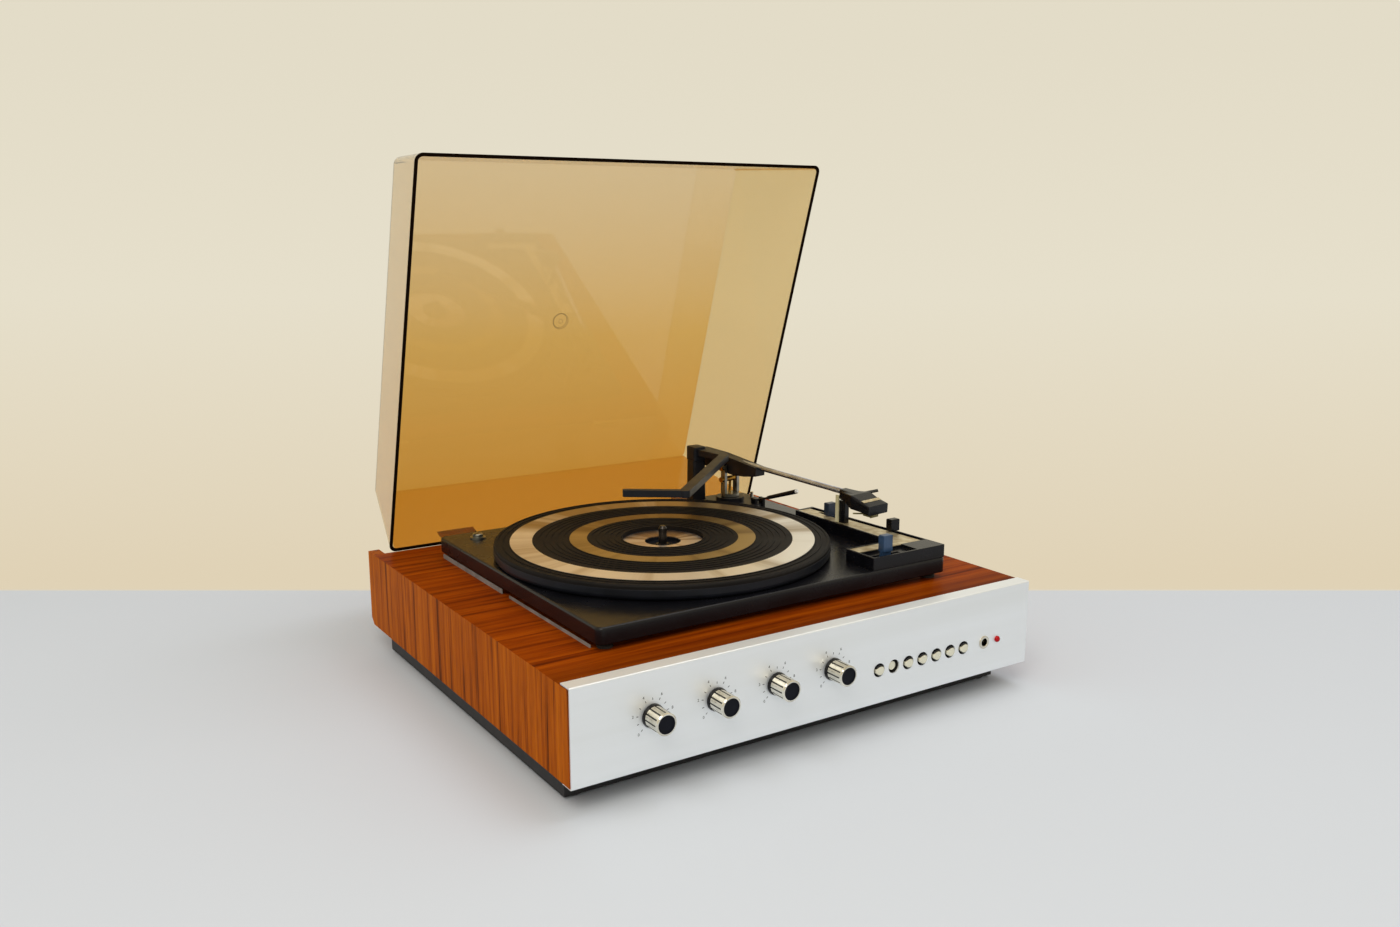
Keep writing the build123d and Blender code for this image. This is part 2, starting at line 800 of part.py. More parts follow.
# Transit screw with a slotted head, and its washer
with BuildPart() as transit_screw:
    with BuildSketch(level(deck_top)):
        with Locations(screw_at):
            Circle(7.0)
    extrude(amount=1.2)
    with BuildSketch(level(deck_top + 1.2)):
        with Locations(screw_at):
            Circle(4.6)
    extrude(amount=3.2)
    fillet(transit_screw.edges().group_by(Axis.Z)[-1], 1.2)
    with BuildSketch(level(deck_top + 4.4)):
        with Locations(screw_at):
            Rectangle(12.0, 1.2, rotation=30)
    extrude(amount=-1.4, mode=Mode.SUBTRACT)
    with BuildSketch(level(deck_top)):
        with Locations(screw_at):
            Circle(3.0)
    extrude(amount=-(deck_rise + panel_thickness + 6.0))
save(transit_screw, "transit_screw")

# Spindle: a bearing bush through the deck and the pin that centres the records
spindle_plane = Plane(origin=(spindle_at[0], spindle_at[1], 0), x_dir=(1, 0, 0), z_dir=(0, -1, 0))
spindle_axis = Axis((spindle_at[0], spindle_at[1], 0), (0, 0, 1))
spindle_top = mat_top + spindle_reach
bush_top = deck_top + 1.2
well_floor = platter_top - well_depth
shoulder_z = well_floor + collar_rise + 0.3
with BuildPart() as spindle:
    with BuildSketch(spindle_plane):
        with BuildLine():
            Polyline(
                (0, deck_under - 12.0),
                (bearing_radius, deck_under - 12.0),
                (bearing_radius, bush_top),
                (bearing_shaft_radius, bush_top),
                (bearing_shaft_radius, shoulder_z),
                (spindle_radius, shoulder_z),
                (spindle_radius, spindle_top - 2.2),
                (spindle_radius - 1.3, spindle_top),
                (0, spindle_top),
                close=True,
            )
        make_face()
    revolve(axis=spindle_axis)
    with BuildSketch(level(deck_under)):
        with Locations(spindle_at):
            Circle(11.0)
            Circle(bearing_radius, mode=Mode.SUBTRACT)
    extrude(amount=-2.0)
save(spindle, "spindle")

# Platter: a turned casting with a deep rim, a thin web, a sunk hub and a seat for the centre disc
rim_bottom = deck_top + platter_gap
hub_bottom = deck_top + hub_clearance
web_under = platter_top - platter_web
with BuildPart() as platter:
    with BuildSketch(spindle_plane):
        with BuildLine():
            Polyline(
                (bearing_shaft_radius + shaft_fit, hub_bottom),
                (hub_radius, hub_bottom),
                (hub_radius, web_under),
                (platter_inner - 2.0, web_under),
                (platter_inner, web_under - 2.0),
                (platter_inner, rim_bottom),
                (platter_radius - 1.6, rim_bottom),
                (platter_radius - 0.4, rim_bottom + 1.6),
                (platter_radius, rim_bottom + 3.2),
                (platter_radius, platter_top),
                (seat_radius, platter_top),
                (seat_radius, platter_top - seat_depth),
                (well_radius, platter_top - seat_depth),
                (well_radius, well_floor),
                (collar_radius, well_floor),
                (collar_radius, well_floor + collar_rise),
                (bearing_shaft_radius + shaft_fit, well_floor + collar_rise),
                close=True,
            )
        make_face()
    revolve(axis=spindle_axis)
save(platter, "platter")

# Rubber mat: ribbed lands with seats for the two trim rings
land_z = mat_top - rib_height
mat_outer = platter_radius - 0.3
lands = ((seat_radius + 0.4, rings[0][0]), (rings[0][1], rings[1][0]), (rings[1][1], mat_outer))
with BuildPart() as platter_mat:
    with BuildSketch(level(platter_top)):
        with Locations(spindle_at):
            Circle(mat_outer)
            Circle(seat_radius + 0.4, mode=Mode.SUBTRACT)
    extrude(amount=mat_thickness)
    fillet(platter_mat.edges().group_by(Axis.Z)[-1].sort_by(SortBy.RADIUS)[-1], 1.6)
    for inner, outer in rings:
        with BuildSketch(level(mat_top)):
            with Locations(spindle_at):
                Circle(outer)
                Circle(inner, mode=Mode.SUBTRACT)
        extrude(amount=-trim_seat, mode=Mode.SUBTRACT)
    for inner, outer in lands:
        grooves = int((outer - inner - rib_width) // rib_pitch)
        for i in range(grooves):
            groove = inner + rib_width + rib_pitch * i
            with BuildSketch(level(mat_top)):
                with Locations(spindle_at):
                    Circle(groove + rib_pitch - rib_width)
                    Circle(groove, mode=Mode.SUBTRACT)
            extrude(amount=-rib_height, mode=Mode.SUBTRACT)
save(platter_mat, "platter_mat")

# Trim: two rings bedded in the mat and the centre disc in the platter's seat
with BuildPart() as trim_rings:
    for inner, outer in rings:
        with BuildSketch(level(mat_top - trim_seat)):
            with Locations(spindle_at):
                Circle(outer)
                Circle(inner, mode=Mode.SUBTRACT)
        extrude(amount=trim_gauge)
    with BuildSketch(level(platter_top - seat_depth)):
        with Locations(spindle_at):
            Circle(centre_disc_radius)
            Circle(well_radius, mode=Mode.SUBTRACT)
    extrude(amount=trim_gauge)
save(trim_rings, "trim_rings")

# Idler wheel with a tapered tyre, and the stepped motor pulley
with BuildPart() as idler_wheel:
    with BuildSketch(Plane(origin=(idler_at[0], idler_at[1], drive_plane_z), x_dir=(1, 0, 0), z_dir=(0, -1, 0))):
        with BuildLine():
            half = idler_width / 2
            Polyline(
                (idler_pin_radius + shaft_fit, -half),
                (5.0, -half),
                (5.0, -half / 2),
                (idler_radius - 4.0, -half / 2),
                (idler_radius - 3.0, -half),
                (idler_radius - 0.5, -half),
                (idler_radius, -half / 2),
                (idler_radius, half / 2),
                (idler_radius - 0.5, half),
                (idler_radius - 3.0, half),
                (idler_radius - 4.0, half / 2),
                (5.0, half / 2),
                (5.0, half),
                (idler_pin_radius + shaft_fit, half),
                close=True,
            )
        make_face()
    revolve(axis=Axis((idler_at[0], idler_at[1], 0), (0, 0, 1)))
save(idler_wheel, "idler_wheel")

with BuildPart() as motor_pulley:
    with BuildSketch(level(drive_plane_z - idler_width / 2)):
        with Locations(motor_at):
            Circle(pulley_radius)
    extrude(amount=idler_width)
    with BuildSketch(level(deck_top - deck_sheet - 0.4)):
        with Locations(motor_at):
            Circle(pulley_radius + 1.3)
            Circle(pulley_radius, mode=Mode.SUBTRACT)
    extrude(amount=1.6)
    with BuildSketch(level(deck_under - 4.0)):
        with Locations(motor_at):
            Circle(motor_shaft_radius)
    extrude(amount=drive_plane_z - deck_under + 4.0)
    with BuildSketch(level(deck_top - deck_sheet - 0.4)):
        with Locations(motor_at):
            Circle(pulley_radius)
    extrude(amount=drive_plane_z - deck_top + deck_sheet)
save(motor_pulley, "motor_pulley")

# Motor: a ribbed can hung from the deck on three pillars
motor_top = deck_under - 6.0
motor_pillars = [
    (motor_at[0] + 22.0 * cos(radians(a)), motor_at[1] + 22.0 * sin(radians(a))) for a in (30, 150, 270)
]
with BuildPart() as drive_motor:
    with BuildSketch(level(motor_top)):
        with Locations(motor_at):
            Circle(motor_radius)
    extrude(amount=-motor_height)
    fillet(drive_motor.edges().filter_by(GeomType.CIRCLE), 2.0)
    with BuildSketch(level(motor_top - motor_height / 2 - 4.0)):
        with Locations(motor_at):
            Rectangle(2 * motor_radius + 6.0, 2 * motor_radius - 14.0)
    extrude(amount=8.0)
    with BuildSketch(level(motor_top)):
        with Locations(*motor_pillars):
            Circle(3.0)
    extrude(amount=deck_under - motor_top)
    with BuildSketch(level(motor_top)):
        with Locations(motor_at):
            Circle(5.0)
    extrude(amount=2.5)
    with BuildSketch(level(motor_top + 2.5)):
        with Locations(motor_at):
            Circle(motor_shaft_radius + shaft_fit)
    extrude(amount=-8.0, mode=Mode.SUBTRACT)
save(drive_motor, "drive_motor")

# Raised control panel: an L-shaped tray of moulded plastic with a channel and slots for the levers
panel_front = panel_front_margin - deck_length / 2
foot_rear = panel_front + foot_length
seat_front = foot_rear - panel_rim - scale_foot_width
channel_floor = panel_top - channel_depth
slot_length = 2 * lever_travel + lever_width + 1.0
size_lever_place = (size_lever_x, (panel_front + panel_rim + seat_front) / 2)
edge_slope = (panel_rear_right - panel_right) / (panel_rear - panel_front)


def panel_edge(y, inset):
    """A place on the panel's slanted right edge, moved inwards by inset."""
    return (panel_right + edge_slope * (y - panel_front) - inset, y)


def scale_seat(gap):
    """The L of the scale plates' seat, drawn in by gap all round."""
    strip_inset = edge_channel + panel_rim
    return [
        on_deck(foot_left + panel_rim + gap, seat_front + gap),
        on_deck(*panel_edge(seat_front + gap, strip_inset + gap)),
        on_deck(*panel_edge(panel_rear - panel_rim - gap, strip_inset + gap)),
        on_deck(panel_inner + panel_rim + gap, panel_rear - panel_rim - gap),
        on_deck(panel_inner + panel_rim + gap, foot_rear - panel_rim - gap),
        on_deck(foot_left + panel_rim + gap, foot_rear - panel_rim - gap),
    ]


with BuildPart() as control_panel:
    with BuildSketch(level(deck_top)):
        with BuildLine():
            Polyline(
                on_deck(foot_left, panel_front),
                on_deck(panel_right, panel_front),
                on_deck(panel_rear_right, panel_rear + panel_rear_slant),
                on_deck(panel_inner, panel_rear),
                on_deck(panel_inner, foot_rear),
                on_deck(foot_left, foot_rear),
                close=True,
            )
        make_face()
    extrude(amount=panel_rise)
    fillet(control_panel.edges().filter_by(Axis.Z), 1.2)
    fillet(control_panel.faces().sort_by(Axis.Z)[-1].edges(), 0.5)
    with BuildSketch(level(panel_top)):
        with BuildLine():
            Polyline(*scale_seat(0.0), close=True)
        make_face()
    extrude(amount=-seat_depth_panel, mode=Mode.SUBTRACT)
    with BuildSketch(level(panel_top)):
        with BuildLine():
            Polyline(
                on_deck(*panel_edge(seat_front, edge_channel + panel_rim)),
                on_deck(*panel_edge(seat_front, panel_rim)),
                on_deck(*panel_edge(panel_rear - panel_rim, panel_rim)),
                on_deck(*panel_edge(panel_rear - panel_rim, edge_channel + panel_rim)),
                close=True,
            )
        make_face()
        with BuildLine():
            Polyline(
                on_deck(foot_left + panel_rim, panel_front + panel_rim),
                on_deck(panel_inner, panel_front + panel_rim),
                on_deck(panel_inner, seat_front),
                on_deck(foot_left + panel_rim, seat_front),
                close=True,
            )
        make_face()
    extrude(amount=-channel_depth, mode=Mode.SUBTRACT)
    with BuildSketch(level(panel_top)):
        with Locations(on_deck(*speed_lever_place), on_deck(*start_lever_place)):
            Rectangle(slot_width, slot_length)
        with Locations(on_deck(*size_lever_place)):
            Rectangle(slot_length, slot_width)
    extrude(amount=-slot_depth, mode=Mode.SUBTRACT)
save(control_panel, "control_panel")

# Scale plates: one printed sheet in the panel's seat, slotted for the speed lever
with BuildPart() as scale_plates:
    with BuildSketch(level(panel_top - seat_depth_panel)):
        with BuildLine():
            Polyline(*scale_seat(scale_gap), close=True)
        make_face()
        with Locations(on_deck(*speed_lever_place)):
            Rectangle(slot_width, slot_length, mode=Mode.SUBTRACT)
    extrude(amount=scale_gauge)
save(scale_plates, "scale_plates")


def lever(place, rise, along_x):
    """A finger tab on a shoe that rides in a slot of the control panel."""
    length, width = (lever_width, lever_thickness) if along_x else (lever_thickness, lever_width)
    with BuildPart() as tab:
        with BuildSketch(level(panel_top - slot_depth + 0.5)):
            with Locations(on_deck(*place)):
                Rectangle(length, width)
        extrude(amount=slot_depth - 0.5 + 0.4)
        with BuildSketch(level(panel_top + 0.4)):
            with Locations(on_deck(*place)):
                Rectangle(lever_width, lever_width * 0.7)
        extrude(amount=rise - 0.4)
        fillet(tab.edges().group_by(Axis.Z)[-1], 0.8)
    return tab


save(lever(speed_lever_place, speed_lever_rise, False), "speed_lever")
save(lever(start_lever_place, start_lever_rise, False), "start_lever")
save(lever(size_lever_place, size_lever_rise, True), "size_lever")

# Arm frame: its X runs from the pivot to the head, tilted down by the droop
pivot_at = on_deck(pivot_x, pivot_y)
rest_at = on_deck(rest_x, rest_y)
post_at = on_deck(post_x, post_y)
reach = sqrt((rest_x - pivot_x) ** 2 + (rest_y - pivot_y) ** 2)
toward = ((rest_x - pivot_x) / reach, (rest_y - pivot_y) / reach)
droop = radians(arm_droop)
arm_z = deck_top + arm_height
arm_frame = Plane(
    origin=(pivot_at[0], pivot_at[1], arm_z),
    x_dir=(toward[0] * cos(droop), toward[1] * cos(droop), -sin(droop)),
    z_dir=(toward[0] * sin(droop), toward[1] * sin(droop), cos(droop)),
)
lift_z = arm_z - axis_drop
head_start = reach - head_setback
head_brow = head_start + head_slope
head_end = head_start + head_length
turret_frame = Plane(origin=(pivot_at[0], pivot_at[1], 0), x_dir=(toward[0], toward[1], 0), z_dir=(0, 0, 1))


def arm_section(x):
    """A sketch plane square to the tube, x from the pivot: local X is across, local Y is up."""
    return Plane(
        origin=arm_frame.from_local_coords(Vector(x, 0, 0)), x_dir=arm_frame.y_dir, z_dir=arm_frame.x_dir
    )


# Tonearm base: a thin round plinth with a bored boss for the turret and lugs for the cueing lever
boss_radius = 14.0
boss_rise = 9.0
turret_pin = 3.0
lug_spacing = 9.0
lug_width = 3.0
lug_depth = 7.0
base_centre = on_deck(pivot_x + base_offset[0], pivot_y + base_offset[1])
cue_hinge = on_deck(*cue_hinge_place)
cue_axis_z = deck_top + arm_base_rise + cue_axis_above_base
with BuildPart() as tonearm_base:
    with BuildSketch(level(deck_top)):
        with Locations(base_centre):
            Circle(arm_base_radius)
    extrude(amount=arm_base_rise)
    chamfer(tonearm_base.faces().sort_by(Axis.Z)[-1].edges(), 1.2)
    with BuildSketch(level(deck_top)):
        with Locations(pivot_at):
            Circle(boss_radius)
    extrude(amount=boss_rise)
    with BuildSketch(level(deck_top)):
        with Locations(post_at):
            Rectangle(post_foot_side + 0.6, post_foot_side + 0.6)
    extrude(amount=arm_base_rise, mode=Mode.SUBTRACT)
    with BuildSketch(level(deck_top + boss_rise)):
        with Locations(pivot_at):
            Circle(turret_pin + shaft_fit)
    extrude(amount=-boss_rise + 0.5, mode=Mode.SUBTRACT)
    with BuildSketch(level(deck_top)):
        with Locations(on_deck(*pin_place)):
            Circle(pin_radius)
    extrude(amount=arm_base_rise + pin_rise)
    with BuildSketch(level(deck_top)):
        with Locations(cue_hinge):
            with GridLocations(lug_spacing, 1, 2, 1):
                Rectangle(lug_width, lug_depth)
    extrude(amount=arm_base_rise + cue_axis_above_base + 2.2)
    bore_start = (cue_hinge[0] - lug_spacing, cue_hinge[1], cue_axis_z)
    with BuildSketch(Plane(origin=bore_start, x_dir=(0, 1, 0), z_dir=(1, 0, 0))):
        Circle(1.25)
    extrude(amount=2 * lug_spacing, mode=Mode.SUBTRACT)
save(tonearm_base, "tonearm_base")

# Cueing lever: an axle, a raised rod and a soft sleeve
cue_tip = on_deck(*cue_tip_place)
cue_vector = Vector(cue_tip[0] - cue_hinge[0], cue_tip[1] - cue_hinge[1], cue_rise)
cue_slope = cue_vector.normalized()
axle_length = lug_spacing + lug_width + 1.2
with BuildPart() as cue_lever:
    axle_start = (cue_hinge[0] - axle_length / 2, cue_hinge[1], cue_axis_z)
    with BuildSketch(Plane(origin=axle_start, x_dir=(0, 1, 0), z_dir=(1, 0, 0))):
        Circle(1.2)
    extrude(amount=axle_length)
    rod_start = Vector(cue_hinge[0], cue_hinge[1], cue_axis_z)
    with BuildSketch(Plane(origin=rod_start, z_dir=cue_slope)):
        Circle(cue_rod_radius)
    extrude(amount=cue_vector.length + 1.2)
    sleeve_start = rod_start + cue_slope * (cue_vector.length - cue_sleeve_length)
    with BuildSketch(Plane(origin=sleeve_start, z_dir=cue_slope)):
        Circle(cue_sleeve_radius)
    extrude(amount=cue_sleeve_length)
save(cue_lever, "cue_lever")

# Turret: turns in the base and carries the arm between two pointed screws
turret_z = deck_top + boss_rise + gimbal_gap
housing_width = 12.0
upright_gap = housing_width / 2 + 0.6
upright_width = 3.0
pivot_pin = 1.2
with BuildPart() as tonearm_turret:
    with BuildSketch(level(turret_z)):
        with Locations(pivot_at):
            Circle(turret_radius)
    extrude(amount=3.0)
    with BuildSketch(level(turret_z)):
        with Locations(pivot_at):
            Circle(turret_pin)
    extrude(amount=-8.0)
    for side in (-1, 1):
        across_x = side * (upright_gap + upright_width / 2)
        post_plane = Plane(
            origin=turret_frame.from_local_coords(Vector(0, across_x, turret_z + 3.0)),
            x_dir=turret_frame.x_dir,
            z_dir=(0, 0, 1),
        )
        with BuildSketch(post_plane):
            Rectangle(6.0, upright_width)
        extrude(amount=lift_z + 3.0 - turret_z - 3.0)
        screw_plane = Plane(
            origin=turret_frame.from_local_coords(Vector(0, side * (upright_gap + upright_width + 2.0), lift_z)),
            x_dir=turret_frame.x_dir,
            z_dir=turret_frame.y_dir * -side,
        )
        with BuildSketch(screw_plane):
            Circle(2.0)
        extrude(amount=2.0)
        with BuildSketch(screw_plane):
            Circle(pivot_pin)
        extrude(amount=2.0 + upright_width + 3.0)
save(tonearm_turret, "tonearm_turret")

# Arm tube, from inside the housing to inside the head
with BuildPart() as tonearm_tube:
    with BuildSketch(arm_section(-6.0)):
        Circle(tube_radius)
        Circle(tube_radius - 0.6, mode=Mode.SUBTRACT)
    extrude(amount=head_start + 8.0 + 6.0)
save(tonearm_tube, "tonearm_tube")

# Pivot housing under the tube, bored for the tube and for the pivot screws
with BuildPart() as pivot_housing:
    with BuildSketch(Plane(origin=arm_frame.origin, x_dir=arm_frame.x_dir, z_dir=arm_frame.y_dir * -1)):
        with BuildLine():
            Polyline(
                (-42.0, -9.5), (-40.0, -11.0), (10.0, -13.0), (26.0, -11.5), (43.0, -8.0), (43.0, 0.5),
                (-10.0, 4.6), (-42.0, 4.6), close=True
            )
        make_face()
    extrude(amount=housing_width / 2, both=True)
    with BuildSketch(arm_section(-20.0)):
        Circle(tube_radius)
    extrude(amount=70.0, mode=Mode.SUBTRACT)
    with BuildSketch(Plane(origin=(pivot_at[0], pivot_at[1], lift_z), x_dir=turret_frame.x_dir, z_dir=turret_frame.y_dir)):
        Circle(pivot_pin + shaft_fit)
    extrude(amount=housing_width, both=True, mode=Mode.SUBTRACT)
save(pivot_housing, "pivot_housing")

# Headshell: a shell that widens from the neck to the brow, then slopes down to the nose
finger_length = 13.4
neck = (head_start, neck_width, neck_top, neck_under)
brow = (head_brow, head_width, brow_top, brow_under)
nose = (head_end, head_width, nose_top, nose_under)
with BuildPart() as headshell:
    for sections in ((neck, brow), (brow, nose)):
        for x, width, top, under in sections:
            with BuildSketch(arm_section(x)):
                with Locations((0, (top - under) / 2)):
                    RectangleRounded(width, top + under, 1.0)
        loft(ruled=True)
    pocket_top = nose_top - head_wall
    with BuildSketch(arm_section(head_brow + 2.0)):
        with Locations((0, pocket_top - nose_under)):
            Rectangle(head_width - 2 * head_wall - 2.0, 2 * nose_under)
    extrude(amount=head_length - head_slope - 2.0 - head_wall, mode=Mode.SUBTRACT)
    with BuildSketch(arm_section(head_start)):
        Circle(tube_radius)
    extrude(amount=8.0, mode=Mode.SUBTRACT)
    finger_start = arm_frame.from_local_coords(Vector(head_brow - 5.0, head_width / 2 - 3.5, 0.6))
    finger_run = (arm_frame.x_dir * 0.74 + arm_frame.y_dir * 0.80 + arm_frame.z_dir * 0.26).normalized()
    with BuildSketch(Plane(origin=finger_start, x_dir=arm_frame.x_dir, z_dir=finger_run)):
        Rectangle(3.6, 1.2)
    extrude(amount=finger_length)
save(headshell, "headshell")

# Cartridge in the head's pocket, with its keel, stylus and turnover lever
cartridge_start = head_brow + 5.0
keel_start = head_brow + 7.0
with BuildPart() as cartridge:
    with BuildSketch(arm_section(cartridge_start)):
        with Locations((0, (pocket_top - 0.2 - nose_under) / 2)):
            Rectangle(15.0, nose_under + pocket_top - 0.2)
    extrude(amount=12.0)
    with BuildSketch(arm_section(keel_start)):
        with Locations((1.0, -nose_under - 1.7)):
            Rectangle(9.0, 4.2)
    extrude(amount=10.0)
    stylus_top = arm_frame.from_local_coords(Vector(keel_start + 6.0, 0, -nose_under - 3.6))
    with BuildSketch(Plane(origin=stylus_top, x_dir=arm_frame.x_dir, z_dir=arm_frame.z_dir * -1)):
        Circle(0.9)
    extrude(amount=1.8, taper=14)
    turn_start = arm_frame.from_local_coords(Vector(keel_start + 1.5, -2.0, -nose_under - 2.0))
    turn_run = (arm_frame.x_dir * -0.78 + arm_frame.y_dir * -0.62 + arm_frame.z_dir * -0.06).normalized()
    with BuildSketch(Plane(origin=turn_start, z_dir=turn_run)):
        Circle(0.7)
    extrude(amount=11.0)
save(cartridge, "cartridge")

# Arm rest: a post under the neck and a thin upright strip beside it that ends just under the tube
neck_dip = (brow_under - neck_under) * (rest_depth / 2 + head_setback) / head_slope
rest_slope = sin(droop) / cos(droop)
rest_top_z = arm_z - (reach + rest_depth / 2) * rest_slope - neck_under - neck_dip - rest_gap
strip_top_z = arm_z - reach * rest_slope - tube_radius - rest_gap
strip_x = -head_setback - 0.8 - strip_width / 2
rest_plane = Plane(origin=(rest_at[0], rest_at[1], panel_top), x_dir=(toward[0], toward[1], 0), z_dir=(0, 0, 1))
rest_floor = rest_plane.offset(scale_gauge - seat_depth_panel)
with BuildPart() as arm_rest:
    with BuildSketch(rest_floor):
        RectangleRounded(rest_depth, rest_width, 1.0)
    extrude(amount=rest_top_z - panel_top + seat_depth_panel - scale_gauge)
    with BuildSketch(rest_floor):
        with Locations((strip_x, -(rest_width + strip_gauge) / 2 - 0.7)):
            Rectangle(strip_width, strip_gauge)
    extrude(amount=strip_top_z - panel_top + seat_depth_panel - scale_gauge)
save(arm_rest, "arm_rest")

# Overarm post: a square tapered column bored for its rod
overarm_z = deck_top + overarm_height
post_top = overarm_z - 0.4
with BuildPart() as overarm_post:
    with BuildSketch(level(deck_top)):
        with Locations(post_at):
            RectangleRounded(post_foot_side, post_foot_side, post_corner)
    with BuildSketch(level(post_top)):
        with Locations(post_at):
            RectangleRounded(post_side, post_side, post_corner)
    loft(ruled=True)
    with BuildSketch(level(post_top)):
        with Locations(post_at):
            Circle(rod_radius + shaft_fit)
    extrude(amount=-(overarm_height - 6.0), mode=Mode.SUBTRACT)
save(overarm_post, "overarm_post")

# Overarm rod: slides in the post; its neck carries the arm
neck_radius = 2.8
neck_length = hub_height - 2.2
with BuildPart() as overarm_rod:
    with BuildSketch(level(deck_top + 8.0)):
        with Locations(post_at):
            Circle(rod_radius)
    extrude(amount=overarm_z - deck_top - 8.0)
    with BuildSketch(level(overarm_z)):
        with Locations(post_at):
            Circle(neck_radius)
    extrude(amount=neck_length)
save(overarm_rod, "overarm_rod")

# Overarm: a block on the rod, a cranked channel bar and a steadying cross bar beside the spindle
hub_bottom_z = overarm_z + 0.2
bar_bottom = overarm_z + bar_rise
elbow = overarm_points[-1]


def strut(start, end, width):
    """A round-ended bar between two places on the deck, in the open sketch."""
    run = (end[0] - start[0], end[1] - start[1])
    middle = ((start[0] + end[0]) / 2, (start[1] + end[1]) / 2)
    turn = degrees(atan2(run[1], run[0]))
    with Locations(on_deck(*middle)):
        SlotCenterToCenter(sqrt(run[0] ** 2 + run[1] ** 2), width, rotation=turn)


with BuildPart() as overarm:
    with BuildSketch(level(bar_bottom)):
        for start, end in zip(overarm_points, overarm_points[1:]):
            strut(start, end, bar_width)
    extrude(amount=bar_height)
    with BuildSketch(level(bar_bottom)):
        strut(overarm_points[1], overarm_points[2], bar_width - 2 * bar_wall)
    extrude(amount=bar_height - bar_wall, mode=Mode.SUBTRACT)
    with BuildSketch(level(hub_bottom_z)):
        with Locations(post_at):
            RectangleRounded(hub_width, hub_length, post_corner)
    extrude(amount=hub_height)
    fillet(overarm.faces().sort_by(Axis.Z)[-1].edges(), 1.2)
    with BuildSketch(level(bar_bottom)):
        strut(elbow, overarm_tip, cross_bar_width)
    extrude(amount=bar_height)
    with BuildSketch(level(hub_bottom_z)):
        with Locations(post_at):
            Circle(neck_radius + shaft_fit)
    extrude(amount=neck_length, mode=Mode.SUBTRACT)
save(overarm, "overarm")

# Hinges: fixed leaves with the middle knuckle and the pin
slot_top = knuckle_radius + knuckle_clearance
leaf_y = front + top_panel_length
leaf_top = body_top + 0.5
with BuildPart() as hinge_fixed_leaves:
    for centre in hinge_centres:
        with BuildSketch(Plane(origin=(centre, leaf_y, 0), x_dir=(-1, 0, 0), z_dir=(0, 1, 0))):
            with Locations((0, leaf_top - leaf_height / 2)):
                RectangleRounded(hinge_width, leaf_height, 1.0)
                with GridLocations(hinge_width * 0.6, 1, 2, 1):
                    Circle(1.6, mode=Mode.SUBTRACT)
        extrude(amount=leaf_gauge)
        middle = Plane(origin=(centre - hinge_middle / 2, hinge_y, hinge_z), x_dir=(0, 1, 0), z_dir=(1, 0, 0))
        with BuildSketch(middle):
            Circle(knuckle_radius)
            with BuildLine():
                Polyline(
                    (-axis_set_back, leaf_top - 2.0 - hinge_z),
                    (-axis_set_back + leaf_gauge, leaf_top - 2.0 - hinge_z),
                    (0, -knuckle_radius),
                    (0, 0),
                    (-axis_set_back, 0),
                    close=True,
                )
            make_face()
        extrude(amount=hinge_middle)
        pin = Plane(origin=(centre - hinge_width / 2, hinge_y, hinge_z), x_dir=(0, 1, 0), z_dir=(1, 0, 0))
        with BuildSketch(pin):
            Circle(hinge_pin_radius)
        extrude(amount=hinge_width)
save(hinge_fixed_leaves, "hinge_fixed_leaves")


def lid_plane(up):
    """A sketch plane parallel to the lid's rim, up from the hinge axis as the closed lid has it."""
    return Plane(
        origin=(0, hinge_y + up * sin(tilt), hinge_z + up * cos(tilt)),
        x_dir=(1, 0, 0),
        z_dir=(0, sin(tilt), cos(tilt)),
    )


def lid_across(x):
    """A sketch plane square to the hinge axis: local X to the closed lid's rear, local Y up."""
    return Plane(origin=(x, hinge_y, hinge_z), x_dir=(0, cos(tilt), -sin(tilt)), z_dir=(1, 0, 0))


# Hinge leaves on the lid, outside its rear wall, with two knuckles each
knuckle_length = (hinge_width - hinge_middle) / 2 - knuckle_gap
with BuildPart() as hinge_lid_leaves:
    for centre in hinge_centres:
        with BuildSketch(lid_across(centre - hinge_width / 2)):
            with Locations((axis_in_wall + leaf_gauge / 2, slot_top + leaf_height / 2)):
                Rectangle(leaf_gauge, leaf_height)
        extrude(amount=hinge_width)
        for start in (centre - hinge_width / 2, centre + hinge_width / 2 - knuckle_length):
            with BuildSketch(lid_across(start)):
                Circle(knuckle_radius)
                with BuildLine():
                    Polyline(
                        (0, 0),
                        (knuckle_radius, 0),
                        (axis_in_wall + leaf_gauge, knuckle_radius),
                        (axis_in_wall + leaf_gauge, slot_top + 1.0),
                        (axis_in_wall, slot_top + 1.0),
                        (axis_in_wall, slot_top),
                        (0, knuckle_radius),
                        close=True,
                    )
                make_face()
                Circle(hinge_pin_radius + shaft_fit, mode=Mode.SUBTRACT)
            extrude(amount=knuckle_length)
save(hinge_lid_leaves, "hinge_lid_leaves")

